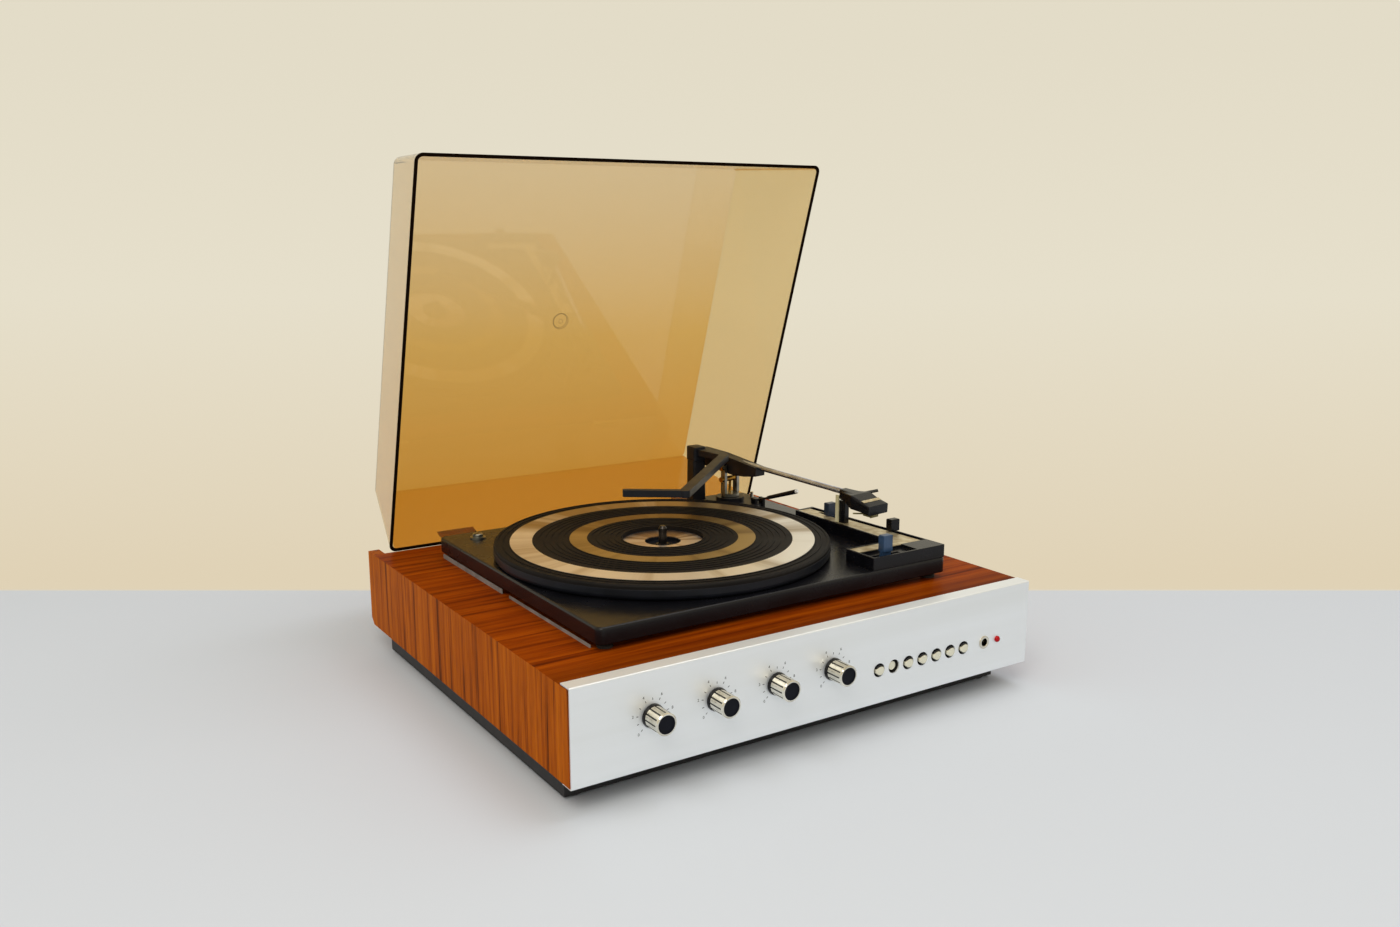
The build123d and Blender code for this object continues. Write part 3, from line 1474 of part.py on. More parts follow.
# Lid: a drafted acrylic cover, upright at the rear, notched round the knuckles
rim_z = -axis_above_rim
with BuildPart() as lid:
    for inset, low, high in ((0.0, rim_z, rim_z + lid_depth), (lid_wall, rim_z - 0.01, rim_z + lid_depth - lid_wall)):
        for up in (low, high):
            share = (up - rim_z) / lid_depth
            lid_width = lid_rim_width - 2 * lid_side_draft * share - 2 * inset
            lid_rear = axis_in_wall - inset
            lid_front = axis_in_wall - lid_rim_length + lid_front_draft * share + inset
            with BuildSketch(lid_plane(up)):
                with Locations((0, (lid_rear + lid_front) / 2)):
                    RectangleRounded(lid_width, lid_rear - lid_front, lid_corner - inset)
        loft(ruled=True, mode=Mode.SUBTRACT if inset else Mode.ADD)
        if not inset:
            crown = lid.faces().sort_by(Axis((0, hinge_y, hinge_z), (0, sin(tilt), cos(tilt))))[-1]
            fillet(crown.edges(), lid_edge)
    for centre in hinge_centres:
        with BuildSketch(lid_across(centre - hinge_width / 2 - knuckle_clearance)):
            with Locations((0, (slot_top + rim_z) / 2)):
                Rectangle(4 * axis_in_wall, slot_top - rim_z + 0.02)
        extrude(amount=hinge_width + 2 * knuckle_clearance, mode=Mode.SUBTRACT)
save(lid, "lid")
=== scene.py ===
"""Looks of the record player: finishes, dial marks, trim and studio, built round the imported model."""

import logging
from dataclasses import dataclass
from enum import Enum
from math import cos, pi, radians, sin
from typing import Any

import bmesh
import bpy
from mathutils import Matrix, Vector


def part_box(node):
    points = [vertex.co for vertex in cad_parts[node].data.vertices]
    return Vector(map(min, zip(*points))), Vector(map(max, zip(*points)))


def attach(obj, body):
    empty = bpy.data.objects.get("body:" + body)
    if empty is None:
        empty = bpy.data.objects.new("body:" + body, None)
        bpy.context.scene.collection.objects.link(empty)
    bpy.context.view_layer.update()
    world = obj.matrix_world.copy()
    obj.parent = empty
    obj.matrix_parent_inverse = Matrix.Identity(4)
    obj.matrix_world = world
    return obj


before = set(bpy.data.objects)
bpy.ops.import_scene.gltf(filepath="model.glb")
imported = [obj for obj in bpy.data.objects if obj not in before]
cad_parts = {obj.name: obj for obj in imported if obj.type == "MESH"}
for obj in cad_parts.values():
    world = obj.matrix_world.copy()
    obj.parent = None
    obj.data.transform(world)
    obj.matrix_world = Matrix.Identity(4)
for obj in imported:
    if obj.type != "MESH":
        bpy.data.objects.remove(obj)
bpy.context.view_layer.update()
LOG = logging.getLogger("record_player")

Tree = bpy.types.NodeTree
Socket = bpy.types.NodeSocket
Triple = tuple[float, float, float]

MM = 0.001
HALF_WIDTH = 215.0
BODY_BOTTOM = 22.0
FASCIA_FRONT = -231.4213
KNOB_NAMES = ("balance", "volume", "treble", "bass")
KNOB_X = (63.0, 115.2, 167.4, 219.6)
KNOB_Z = 36.8
BUTTON_NAMES = ("filter", "phono", "tape", "tuner", "aux", "mono", "power")
BUMP_DEPTH = 0.0002
EDGE_SAMPLES = 4
SMOOTHEST = 0.02
ROD_SIDES = 28


def linear(hex_code: str) -> tuple[float, float, float, float]:
    """Turns an sRGB hex colour to a linear one.

    Args:
        hex_code: Six hex digits, such as "8a3c10".

    Returns:
        Red, green, blue and an alpha of 1, as Blender's sockets take them.
    """
    values = [int(hex_code[i : i + 2], 16) / 255 for i in (0, 2, 4)]
    r, g, b = (v / 12.92 if v <= 0.04045 else ((v + 0.055) / 1.055) ** 2.4 for v in values)
    return (r, g, b, 1.0)


def place(x: float, y: float, z: float) -> Vector:
    """A point in metres from millimetres right of, behind and above the cabinet's front left corner."""
    return Vector((x - HALF_WIDTH, y + FASCIA_FRONT, z + BODY_BOTTOM)) * MM


def link(tree: Tree, node: bpy.types.Node, **sockets: Socket) -> None:
    """Links output sockets to a node's inputs.

    Args:
        tree: The node tree that holds them.
        node: The node that takes them.
        sockets: Output sockets by the input's name, with spaces as underscores, or by i and the input's number.
    """
    for name, socket in sockets.items():
        index = int(name[1:]) if name[0] == "i" and name[1:].isdigit() else name.replace("_", " ")
        tree.links.new(socket, node.inputs[index])


def add_node(tree: Tree, kind: str, settings: dict[str, Any], **inputs: Socket) -> bpy.types.Node:
    """Adds a shader node, sets it up and links it.

    Args:
        tree: The node tree that takes the node.
        kind: The node's class name.
        settings: Properties of the node, its inputs by index or name under "in", and a colour ramp's positions
            with hex colours or grey levels under "stops".
        inputs: Sockets to link, named as link takes them.

    Returns:
        The new node.
    """
    made = tree.nodes.new(kind)
    for key, value in settings.items():
        if key == "in":
            for name, number in value.items():
                made.inputs[name].default_value = number
        elif key == "stops":
            elements = made.color_ramp.elements
            while len(elements) < len(value):
                elements.new(0.5)
            for element, (position, colour) in zip(elements, value):
                element.position = position
                element.color = linear(colour) if isinstance(colour, str) else (colour,) * 3 + (1,)
        else:
            setattr(made, key, value)
    link(tree, made, **inputs)
    return made


def started(name: str) -> tuple[bpy.types.Material, Tree, bpy.types.Node]:
    """Starts a material that is made of nodes.

    Args:
        name: The material's name.

    Returns:
        The material, its node tree and its main shader.
    """
    made = bpy.data.materials.new(name)
    made.use_nodes = True
    return made, made.node_tree, made.node_tree.nodes["Principled BSDF"]


def object_place(tree: Tree) -> Socket:
    """Adds the place on the object, in metres in the player's frame."""
    return add_node(tree, "ShaderNodeTexCoord", {}).outputs["Object"]


def noise(
    tree: Tree, where: Socket, scale: float, detail: float, roughness: float = 0.5, distortion: float = 0.0
) -> Socket:
    """Adds smooth noise.

    Args:
        tree: The node tree that takes it.
        where: The place that it is read at.
        scale: How many of its patches make a metre.
        detail: How many finer layers it has.
        roughness: How strong the finer layers are.
        distortion: How far it is bent.

    Returns:
        The noise's level.
    """
    settings = {"Scale": scale, "Detail": detail, "Roughness": roughness, "Distortion": distortion}
    return add_node(tree, "ShaderNodeTexNoise", {"in": settings}, Vector=where).outputs["Fac"]


def ramp(tree: Tree, stops: Any, level: Socket, stepped: bool = False) -> Socket:
    """Adds a colour ramp.

    Args:
        tree: The node tree that takes it.
        stops: Its positions with their hex colours or grey levels.
        level: What is looked up in it.
        stepped: Whether its colours change at once instead of running into each other.

    Returns:
        The colour.
    """
    made = add_node(tree, "ShaderNodeValToRGB", {"stops": stops}, Fac=level)
    if stepped:
        made.color_ramp.interpolation = "CONSTANT"
    return made.outputs["Color"]


def ranged(
    tree: Tree, value: Socket, taken: tuple[float, float] = (0.0, 1.0), given: tuple[float, float] = (0.0, 1.0)
) -> Socket:
    """Maps one range of a value to another and holds it at the ends.

    Args:
        tree: The node tree that takes the node.
        value: The value.
        taken: The range that it comes in.
        given: The range that it leaves in.

    Returns:
        The mapped value.
    """
    ends = {"From Min": taken[0], "From Max": taken[1], "To Min": given[0], "To Max": given[1]}
    return add_node(tree, "ShaderNodeMapRange", {"in": ends}, Value=value).outputs["Result"]


def calculated(tree: Tree, operation: str, **values: Socket) -> Socket:
    """Works out a number from the values i0 and, where the operation needs it, i1."""
    return add_node(tree, "ShaderNodeMath", {"operation": operation}, **values).outputs[0]


def multiplied(tree: Tree, first: Socket, second: Socket, share: float = 1.0) -> Socket:
    """Multiplies a colour by a second one, in full or by a share."""
    settings = {"data_type": "RGBA", "blend_type": "MULTIPLY", "in": {0: share}}
    return add_node(tree, "ShaderNodeMix", settings, i6=first, i7=second).outputs[2]


def crossed(tree: Tree, share: Socket, first: Socket, second: Socket) -> Socket:
    """Goes over from a first shader to a second one by a share."""
    return add_node(tree, "ShaderNodeMixShader", {}, i0=share, i1=first, i2=second).outputs["Shader"]


def bumped(tree: Tree, height: Socket, strength: float) -> bpy.types.Node:
    """Adds a fine relief from a height."""
    settings = {"in": {"Strength": strength, "Distance": BUMP_DEPTH}}
    return add_node(tree, "ShaderNodeBump", settings, Height=height)


class Grain(Enum):
    """The way that a veneer's grain or a brushed finish runs."""

    ALONG_X = (0.03, 1.0, 1.0)
    ALONG_Z = (1.0, 1.0, 0.03)


@dataclass(frozen=True)
class Finish:
    """A material with a fine mottle in its colour, a roughness that varies and a small relief.

    The mottle and the relief come from noise whose size is given in millimetres, and edge_mm is the radius that
    sharp edges are shaded with.
    """

    name: str
    base: str
    shade: str
    metallic: float = 0.0
    roughness: float = 0.4
    rough_swing: float = 0.08
    ior: float = 1.5
    patch_mm: float = 12.0
    patch_detail: float = 6.0
    mottle: tuple[float, float] = (0.35, 0.65)
    relief_mm: float = 0.6
    relief_detail: float = 3.0
    relief: float = 0.05
    grain: Grain | None = None
    edge_mm: float = 0.0

    def material(self) -> bpy.types.Material:
        """Builds the material once and returns it.

        Returns:
            The material with this finish's name.
        """
        known = bpy.data.materials.get(self.name)
        if known:
            return known
        made, tree, shader = started(self.name)
        shader.inputs["Metallic"].default_value = self.metallic
        shader.inputs["IOR"].default_value = self.ior
        where = object_place(tree)
        if self.grain:
            settings = {"in": {"Scale": self.grain.value}}
            where = add_node(tree, "ShaderNodeMapping", settings, Vector=where).outputs["Vector"]
        patches = noise(tree, where, 1 / (self.patch_mm * MM), self.patch_detail)
        colour = ramp(tree, list(zip(self.mottle, (self.shade, self.base))), patches)
        low, high = self.roughness - self.rough_swing, self.roughness + self.rough_swing
        rough = ranged(tree, patches, given=(max(SMOOTHEST, low), min(1.0, high)))
        fine = noise(tree, where, 1 / (self.relief_mm * MM), self.relief_detail)
        bump = bumped(tree, fine, self.relief)
        if self.edge_mm:
            settings = {"samples": EDGE_SAMPLES, "in": {"Radius": self.edge_mm * MM}}
            edge = add_node(tree, "ShaderNodeBevel", settings)
            link(tree, bump, Normal=edge.outputs["Normal"])
        link(tree, shader, Base_Color=colour, Roughness=rough, Normal=bump.outputs["Normal"])
        return made


@dataclass(frozen=True)
class TeakVeneer:
    """Oiled teak veneer, knife cut: long dark streaks, fine pores and a satin sheen along the grain.

    Painted shadow: at the cabinet's front the colour is multiplied by front_shade, darkening it where the deck's
    shadow falls, and this fades out over front_mm.
    """

    name: str
    light: str
    middle: str
    dark: str
    grain: Grain
    front_shade: float = 1.0
    front_mm: float = 50.0
    skew: Triple = (0.0, 0.02, 0.03)
    streak_mm: float = 7.0
    streak_detail: float = 5.0
    streak_roughness: float = 0.62
    streak_bend: float = 0.25
    streak_levels: Triple = (0.33, 0.45, 0.66)
    pore_mm: float = 0.6
    pore_detail: float = 2.0
    pore_greys: tuple[tuple[float, float], ...] = ((0.36, 0.55), (0.5, 1.0))
    pore_share: float = 0.55
    pore_relief: float = 0.12
    sheen: tuple[float, float] = (0.3, 0.46)
    ior: float = 1.1
    specular: float = 0.2

    def material(self) -> bpy.types.Material:
        """Builds the material.

        Returns:
            The veneer's material.
        """
        made, tree, shader = started(self.name)
        shader.inputs["IOR"].default_value = self.ior
        shader.inputs["Specular IOR Level"].default_value = self.specular
        where = object_place(tree)
        settings = {"in": {"Scale": self.grain.value, "Rotation": self.skew}}
        long_way = add_node(tree, "ShaderNodeMapping", settings, Vector=where).outputs["Vector"]
        streaks = noise(
            tree, long_way, 1 / (self.streak_mm * MM), self.streak_detail, self.streak_roughness, self.streak_bend
        )
        colour = ramp(tree, list(zip(self.streak_levels, (self.dark, self.middle, self.light))), streaks)
        pores = noise(tree, long_way, 1 / (self.pore_mm * MM), self.pore_detail)
        pored = multiplied(tree, colour, ramp(tree, self.pore_greys, pores), self.pore_share)
        # Painted shadow of the deck: the colour darkens towards the cabinet's front.
        behind = add_node(tree, "ShaderNodeSeparateXYZ", {}, Vector=where).outputs["Y"]
        front = place(0.0, 0.0, 0.0).y
        painted_deck_shadow = ranged(tree, behind, (front, front + self.front_mm * MM), (self.front_shade, 1.0))
        deck_shadowed = multiplied(tree, pored, painted_deck_shadow)
        rough = ranged(tree, pores, given=self.sheen)
        bump = bumped(tree, pores, self.pore_relief)
        link(tree, shader, Base_Color=deck_shadowed, Roughness=rough, Normal=bump.outputs["Normal"])
        return made


@dataclass(frozen=True)
class AmberAcrylic:
    """Acrylic tinted amber, formed and polished: painted shade deepens it near its hinge; dusty near its free edge,
    dark at its rim.

    Heights and distances are metres. The gate is the round mark that the moulding leaves.
    """

    name: str = "acrylic_amber_polished"
    ior: float = 1.49
    low: float = 0.10
    high: float = 0.44
    tints: tuple[tuple[float, str], ...] = ((0.06, "dca54a"), (0.5, "e8be6e"), (0.97, "f3dcb4"))
    side: str = "f1dbac"
    back: str = "cf8f2e"
    wall_lean: tuple[float, float] = (0.4, 0.7)
    haze_scale: float = 14.0
    haze_detail: float = 6.0
    haze: float = 0.06
    dust: str = "d9cba6"
    speck_scale: float = 900.0
    speck_detail: float = 2.0
    speck_roughness: float = 0.4
    speck_greys: tuple[tuple[float, float], ...] = ((0.3, 0.07), (0.74, 0.11), (0.78, 0.5))
    least_dust: float = 0.2
    rim: str = "140b05"
    rim_depth: float = 0.0010
    rim_full: float = 0.0004
    open_angle: float = 72.0
    gate: Triple = (-0.0012, 0.1925, 0.2886)
    gate_reach: float = 0.012
    gate_rings: tuple[tuple[float, float], ...] = (
        (0.0, 1.0),
        (0.14, 1.0),
        (0.16, 0.55),
        (0.20, 0.55),
        (0.22, 1.0),
        (0.62, 1.0),
        (0.64, 0.45),
        (0.70, 0.45),
        (0.72, 1.0),
    )

    def on_rim(self, tree: Tree, where: Socket) -> Socket:
        """Adds the share of the dark rim, which is the lid's free edge at rest.

        Args:
            tree: The node tree that takes the nodes.
            where: The place on the lid.

        Returns:
            The share, from 0 off the rim to 1 on it.
        """
        way = Vector((0.0, -sin(radians(self.open_angle)), -cos(radians(self.open_angle))))
        rim_at = max(vertex.co.dot(way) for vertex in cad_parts["lid"].data.vertices)
        reach = add_node(tree, "ShaderNodeVectorMath", {"operation": "DOT_PRODUCT", "in": {1: way}}, i0=where)
        return ranged(tree, reach.outputs["Value"], (rim_at - self.rim_depth, rim_at - self.rim_full))

    def material(self) -> bpy.types.Material:
        """Builds the material.

        Returns:
            The lid's material.
        """
        made, tree, shader = started(self.name)
        shader.inputs["IOR"].default_value = self.ior
        shader.inputs["Transmission Weight"].default_value = 1.0
        coordinates = add_node(tree, "ShaderNodeTexCoord", {})
        where = coordinates.outputs["Object"]
        # Painted shade: the amber is deeper low down towards the hinge and paler towards the free edge.
        height = add_node(tree, "ShaderNodeSeparateXYZ", {}, Vector=where).outputs["Z"]
        level = ranged(tree, height, (self.low, self.high))
        tinted = ramp(tree, self.tints, level)
        ways = add_node(tree, "ShaderNodeSeparateXYZ", {}, Vector=coordinates.outputs["Normal"])
        # Painted shade: the rear wall is tinted a deeper amber, and the side walls get a paler one, chosen by which
        # way each face looks.
        walls = {}
        for axis, wall in (("Z", self.back), ("X", self.side)):
            lean = calculated(tree, "ABSOLUTE", i0=ways.outputs[axis])
            walls[axis] = ranged(tree, lean, self.wall_lean)
            settings = {"data_type": "RGBA", "in": {7: linear(wall)}}
            tinted = add_node(tree, "ShaderNodeMix", settings, i0=walls[axis], i6=tinted).outputs[2]
        away = add_node(tree, "ShaderNodeVectorMath", {"operation": "DISTANCE", "in": {1: self.gate}}, i0=where)
        rings = ramp(tree, self.gate_rings, ranged(tree, away.outputs["Value"], (0.0, self.gate_reach)))
        haze = noise(tree, where, self.haze_scale, self.haze_detail)
        rough = ranged(tree, haze, given=(0.0, self.haze))
        link(tree, shader, Base_Color=multiplied(tree, tinted, rings), Roughness=rough)

        film = add_node(tree, "ShaderNodeBsdfDiffuse", {"in": {"Color": linear(self.dust)}})
        specks = ramp(
            tree, self.speck_greys, noise(tree, where, self.speck_scale, self.speck_detail, self.speck_roughness)
        )
        share = calculated(tree, "MAXIMUM", i0=ranged(tree, level, given=(self.least_dust, 1.0)), i1=walls["X"])
        dusty = calculated(tree, "MULTIPLY", i0=specks, i1=share)
        mixed = crossed(tree, dusty, shader.outputs["BSDF"], film.outputs["BSDF"])
        dark = add_node(tree, "ShaderNodeBsdfDiffuse", {"in": {"Color": linear(self.rim)}})
        edged = crossed(tree, self.on_rim(tree, where), mixed, dark.outputs["BSDF"])
        link(tree, tree.nodes["Material Output"], Surface=edged)
        return made


@dataclass(frozen=True)
class SpunTrim:
    """Thin aluminium, spun brushed and anodised in three tones, with painted light that fans out from the middle.

    The tones start at a radius in metres and have a bright and a dark colour, between which painted highlights fan
    out.
    """

    name: str = "aluminium_spun_anodised"
    metallic: float = 0.9
    centre: tuple[float, float] = (192.6, 197.5)
    outer: float = 0.14
    tones: tuple[tuple[float, str, str], ...] = (
        (0.0, "e8dccd", "a38669"),
        (0.045, "b39a64", "7a5f33"),
        (0.095, "f8f4ea", "a68f68"),
    )
    bright_way: Triple = (-0.35, -0.94, 0.0)
    bright_lift: float = 0.14
    fan_scale: float = 3.2
    fan_detail: float = 7.0
    fan_levels: tuple[float, float] = (0.38, 0.6)
    line_scale: float = 2500.0
    line_relief: float = 0.2
    sheen: tuple[float, float] = (0.28, 0.44)

    def material(self) -> bpy.types.Material:
        """Builds the material.

        Returns:
            The trim's material.
        """
        made, tree, shader = started(self.name)
        shader.inputs["Metallic"].default_value = self.metallic
        middle = place(*self.centre, 0.0)
        settings = {"operation": "SUBTRACT", "in": {1: (middle.x, middle.y, 0.0)}}
        moved = add_node(tree, "ShaderNodeVectorMath", settings, i0=object_place(tree)).outputs[0]
        settings = {"operation": "MULTIPLY", "in": {1: (1.0, 1.0, 0.0)}}
        flat = add_node(tree, "ShaderNodeVectorMath", settings, i0=moved).outputs[0]
        radius = add_node(tree, "ShaderNodeVectorMath", {"operation": "LENGTH"}, i0=flat).outputs["Value"]
        way = add_node(tree, "ShaderNodeVectorMath", {"operation": "NORMALIZE"}, i0=flat).outputs[0]
        reach = ranged(tree, radius, (0.0, self.outer))
        bright, dark = (
            ramp(tree, [(tone[0] / self.outer, tone[pick]) for tone in self.tones], reach, stepped=True)
            for pick in (1, 2)
        )
        # Painted highlight: the rings are lighter towards the front and in noisy fans round the middle.
        settings = {"operation": "DOT_PRODUCT", "in": {1: self.bright_way}}
        facing = add_node(tree, "ShaderNodeVectorMath", settings, i0=way).outputs["Value"]
        lift = ranged(tree, facing, (-1.0, 1.0), (-self.bright_lift, self.bright_lift))
        highlight_fans = noise(tree, way, self.fan_scale, self.fan_detail)
        share = ranged(tree, calculated(tree, "ADD", i0=highlight_fans, i1=lift), self.fan_levels)
        colour = add_node(tree, "ShaderNodeMix", {"data_type": "RGBA"}, i0=share, i6=dark, i7=bright).outputs[2]
        settings = {"noise_dimensions": "1D", "in": {"Scale": self.line_scale}}
        lines = add_node(tree, "ShaderNodeTexNoise", settings, W=radius).outputs["Fac"]
        bump = bumped(tree, lines, self.line_relief)
        rough = ranged(tree, highlight_fans, given=self.sheen)
        link(tree, shader, Base_Color=colour, Roughness=rough, Normal=bump.outputs["Normal"])
        return made


@dataclass(frozen=True)
class DomedPlate:
    """Brass caps, domed and chrome plated, with a painted reflection: bright middles, the dark room in upper and lower
    rims.
    """

    name: str = "brass_chromed_domed"
    bright: str = "e6e2cc"
    dark: str = "17171a"
    leans: tuple[float, float] = (0.30, 0.46)
    metallic: float = 0.55
    grime_scale: float = 600.0
    grime_detail: float = 4.0
    sheen: tuple[float, float] = (0.14, 0.34)

    def material(self) -> bpy.types.Material:
        """Builds the material.

        Returns:
            The button caps' material.
        """
        made, tree, shader = started(self.name)
        shader.inputs["Metallic"].default_value = self.metallic
        coordinates = add_node(tree, "ShaderNodeTexCoord", {})
        ways = add_node(tree, "ShaderNodeSeparateXYZ", {}, Vector=coordinates.outputs["Normal"])
        lean = calculated(tree, "ABSOLUTE", i0=ways.outputs["Z"])
        # Painted reflection: the colour turns dark where the cap faces up or down and stays bright where it faces
        # ahead.
        colour = ramp(tree, list(zip(self.leans, (self.bright, self.dark))), lean)
        grime = noise(tree, coordinates.outputs["Object"], self.grime_scale, self.grime_detail)
        link(tree, shader, Base_Color=colour, Roughness=ranged(tree, grime, given=self.sheen))
        return made


# Fascia: rolled aluminium sheet, lightly brushed along its length and clear anodised
FASCIA = Finish(
    "aluminium_brushed_anodised",
    "f2f6fa",
    "e6e9e9",
    metallic=0.7,
    roughness=0.44,
    rough_swing=0.05,
    patch_mm=60.0,
    relief_mm=0.35,
    relief=0.10,
    grain=Grain.ALONG_X,
)
# Knobs and socket: brass bodies, nickel plated and polished, with a warm grey reflection
NICKEL = Finish("nickel_plated_polished", "ece8dc", "cfcabb", metallic=1.0, roughness=0.13, rough_swing=0.05)
# Small metal parts and screws: drawn or turned steel, zinc plated, dull grey
STEEL = Finish("steel_zinc_plated", "a9a9a2", "85867f", metallic=1.0, roughness=0.34)
# Hinges: pressed steel, zinc plated and passivated yellow
HINGE_STEEL = Finish(
    "steel_zinc_yellow_passivated", "f2cf8c", "d3aa62", metallic=0.3, roughness=0.5, rough_swing=0.1
)
# Arm tube and its collar: thin steel, polished and plated, cool in tone
TUBE_STEEL = Finish("steel_polished_plated", "cfdcff", "a7b3d6", metallic=1.0, roughness=0.24, rough_swing=0.05)
# Spindle and cueing lever: turned steel, blackened and oiled
DARK_STEEL = Finish("steel_blackened", "4a4643", "2c2a29", metallic=0.9, roughness=0.3)
# Motor pulley and the arm's pivots: turned brass, left bare
BRASS = Finish("brass_turned", "b48a3c", "8c6424", metallic=1.0, roughness=0.3, rough_swing=0.1)
# Deck: pressed steel in stoved black enamel, glossy with a film of dust
ENAMEL = Finish(
    "enamel_black_stoved", "101014", "0b0b0e", roughness=0.26, ior=1.36, patch_mm=30.0, relief_mm=1.0, relief=0.03,
    edge_mm=1.2,
)
# Platter and overarm: cast and pressed metal, painted satin black
SATIN_BLACK = Finish("paint_black_satin", "14161d", "0e1015", ior=1.3, edge_mm=0.8)
# Arm base, housings, switch bank and sockets: moulded black ABS, slightly glossy, with a faint grain
ABS_BLACK = Finish("abs_black_moulded", "131318", "0d0d10", roughness=0.36, ior=1.34, edge_mm=0.5)
# Control panel, headshell, arm rest, start lever and knob skirts: moulded black ABS, polished in the tool
ABS_GLOSS = Finish("abs_black_glossy", "101015", "0a0a0d", roughness=0.26, rough_swing=0.06, ior=1.32, edge_mm=0.5)
# Knob caps: blue black ABS, moulded with a fine texture that kills its shine
CAP_BLACK = Finish("abs_blue_black_textured", "14161f", "0e1017", roughness=0.55, ior=1.2)
# Guide strip's face, cueing lever's tip, size and speed levers, cartridge: ABS moulded in its colour
ABS_CREAM = Finish("abs_cream_moulded", "d8d2ae", "c6bd92", roughness=0.3)
TIP_WHITE = Finish("abs_white_moulded", "f4f3ee", "e6e4dc", roughness=0.3)
ABS_BLUE = Finish("abs_blue_moulded", "2f4a6b", "223852", roughness=0.3)
ABS_NAVY = Finish("abs_navy_moulded", "232f42", "182231", roughness=0.3)
ABS_OLIVE = Finish("abs_olive_moulded", "8c8350", "6f683c", roughness=0.35)
# Pilot lamp: red acrylic, moulded as a small lens
LENS_RED = Finish("acrylic_red_moulded", "b00812", "8a040c", roughness=0.24, rough_swing=0.04, ior=1.25)
# Mat: natural rubber, moulded with ribs, dull and a little dusty
RUBBER_MAT = Finish(
    "rubber_ribbed_moulded", "161311", "0f0d0c", roughness=0.62, rough_swing=0.1, ior=1.24, patch_mm=26.0,
    relief_mm=0.5, relief=0.12,
)
# Feet, grommet, deck mounts and idler tyre: moulded black rubber, matte
RUBBER = Finish("rubber_black_moulded", "1f1e1d", "161515", roughness=0.7, rough_swing=0.1)
# Scale plates and the head's band: aluminium foil, lacquered warm and a little worn
SCALE_FOIL = Finish("aluminium_foil_printed", "d8cdac", "b09a70", metallic=0.75, patch_mm=7.0)
# Rear and bottom panels: hardboard, hot pressed and left raw
HARDBOARD = Finish("hardboard_pressed", "5a4632", "463524", roughness=0.75, rough_swing=0.1)
# Board behind the fascia: chipboard coloured near black, as painted shade in the holes for the buttons
CHIPBOARD = Finish("chipboard_black_hole_shade", "1a1815", "100f0d", roughness=0.8, rough_swing=0.1)
# Skirt under the cabinet: planed softwood, painted black
PAINTED_WOOD = Finish("softwood_painted_black", "17171a", "101012", roughness=0.55, rough_swing=0.1)
# Amplifier board: phenolic paper laminate, punched
PHENOLIC = Finish("phenolic_paper_laminate", "8a6a34", "6d5126", rough_swing=0.1)
# Transformer and motor: stacked silicon steel, dipped in varnish
CORE_STEEL = Finish("silicon_steel_varnished", "4b4a48", "353433", metallic=0.7, roughness=0.45, rough_swing=0.1)
# Dial marks and scale dashes: black ink, which also colours the dark strips in the knobs' grooves
MARK_INK = Finish("ink_black_screen_printed", "1c1c1c", "141414", roughness=0.5, rough_swing=0.05)
# Seal under the deck's left edge: grey felt, cut in strips
FELT = Finish("felt_grey_cut", "8f8780", "746c66", roughness=0.8, rough_swing=0.05, ior=1.3)
# Teak veneer for the top and the sides; the top's front strip is darkened by a painted shadow of the deck.
TEAK_TOP = TeakVeneer("teak_veneer_top", "a04806", "823203", "5c1f02", Grain.ALONG_X, front_shade=0.4)
TEAK_SIDE = TeakVeneer("teak_veneer_side", "be640d", "a34e08", "5c2a06", Grain.ALONG_Z)


NODE_FINISHES: dict[Any, tuple[str, ...]] = {
    FASCIA: ("fascia_panel",),
    NICKEL: (*(f"{name}_knob" for name in KNOB_NAMES), "headphone_socket"),
    STEEL: ("potentiometers", "transit_screw", "overarm_rod", "tonearm_turret"),
    HINGE_STEEL: ("hinge_fixed_leaves", "hinge_lid_leaves"),
    TUBE_STEEL: ("tonearm_tube",),
    DARK_STEEL: ("spindle", "cue_lever"),
    BRASS: ("motor_pulley",),
    ENAMEL: ("deck_plate",),
    SATIN_BLACK: ("platter", "overarm"),
    ABS_BLACK: ("tonearm_base", "overarm_post", "pivot_housing", "switch_bank", "speaker_sockets"),
    ABS_GLOSS: ("control_panel", "headshell", "arm_rest", "start_lever"),
    CAP_BLACK: tuple(f"{name}_knob_cap" for name in KNOB_NAMES),
    DomedPlate(): tuple(f"{name}_button" for name in BUTTON_NAMES),
    ABS_BLUE: ("size_lever",),
    ABS_NAVY: ("speed_lever",),
    LENS_RED: ("pilot_lamp",),
    RUBBER_MAT: ("platter_mat",),
    RUBBER: ("rubber_feet", "mains_inlet_grommet", "deck_mounts", "idler_wheel"),
    SpunTrim(): ("trim_rings",),
    SCALE_FOIL: ("scale_plates",),
    HARDBOARD: ("rear_panel", "bottom_panel"),
    CHIPBOARD: ("front_baffle",),
    PAINTED_WOOD: ("base_frame",),
    PHENOLIC: ("amplifier_board",),
    CORE_STEEL: ("mains_transformer", "drive_motor"),
    TEAK_TOP: ("top_panel",),
    TEAK_SIDE: ("side_panels",),
    AmberAcrylic(): ("lid",),
    ABS_OLIVE: ("cartridge",),
}


def dress_nodes() -> None:
    """Puts each node's finish on its material slots."""
    for finish, names in NODE_FINISHES.items():
        material = finish.material()
        for name in names:
            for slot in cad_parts[name].material_slots:
                slot.material = material
            LOG.info("dressed %s", name)


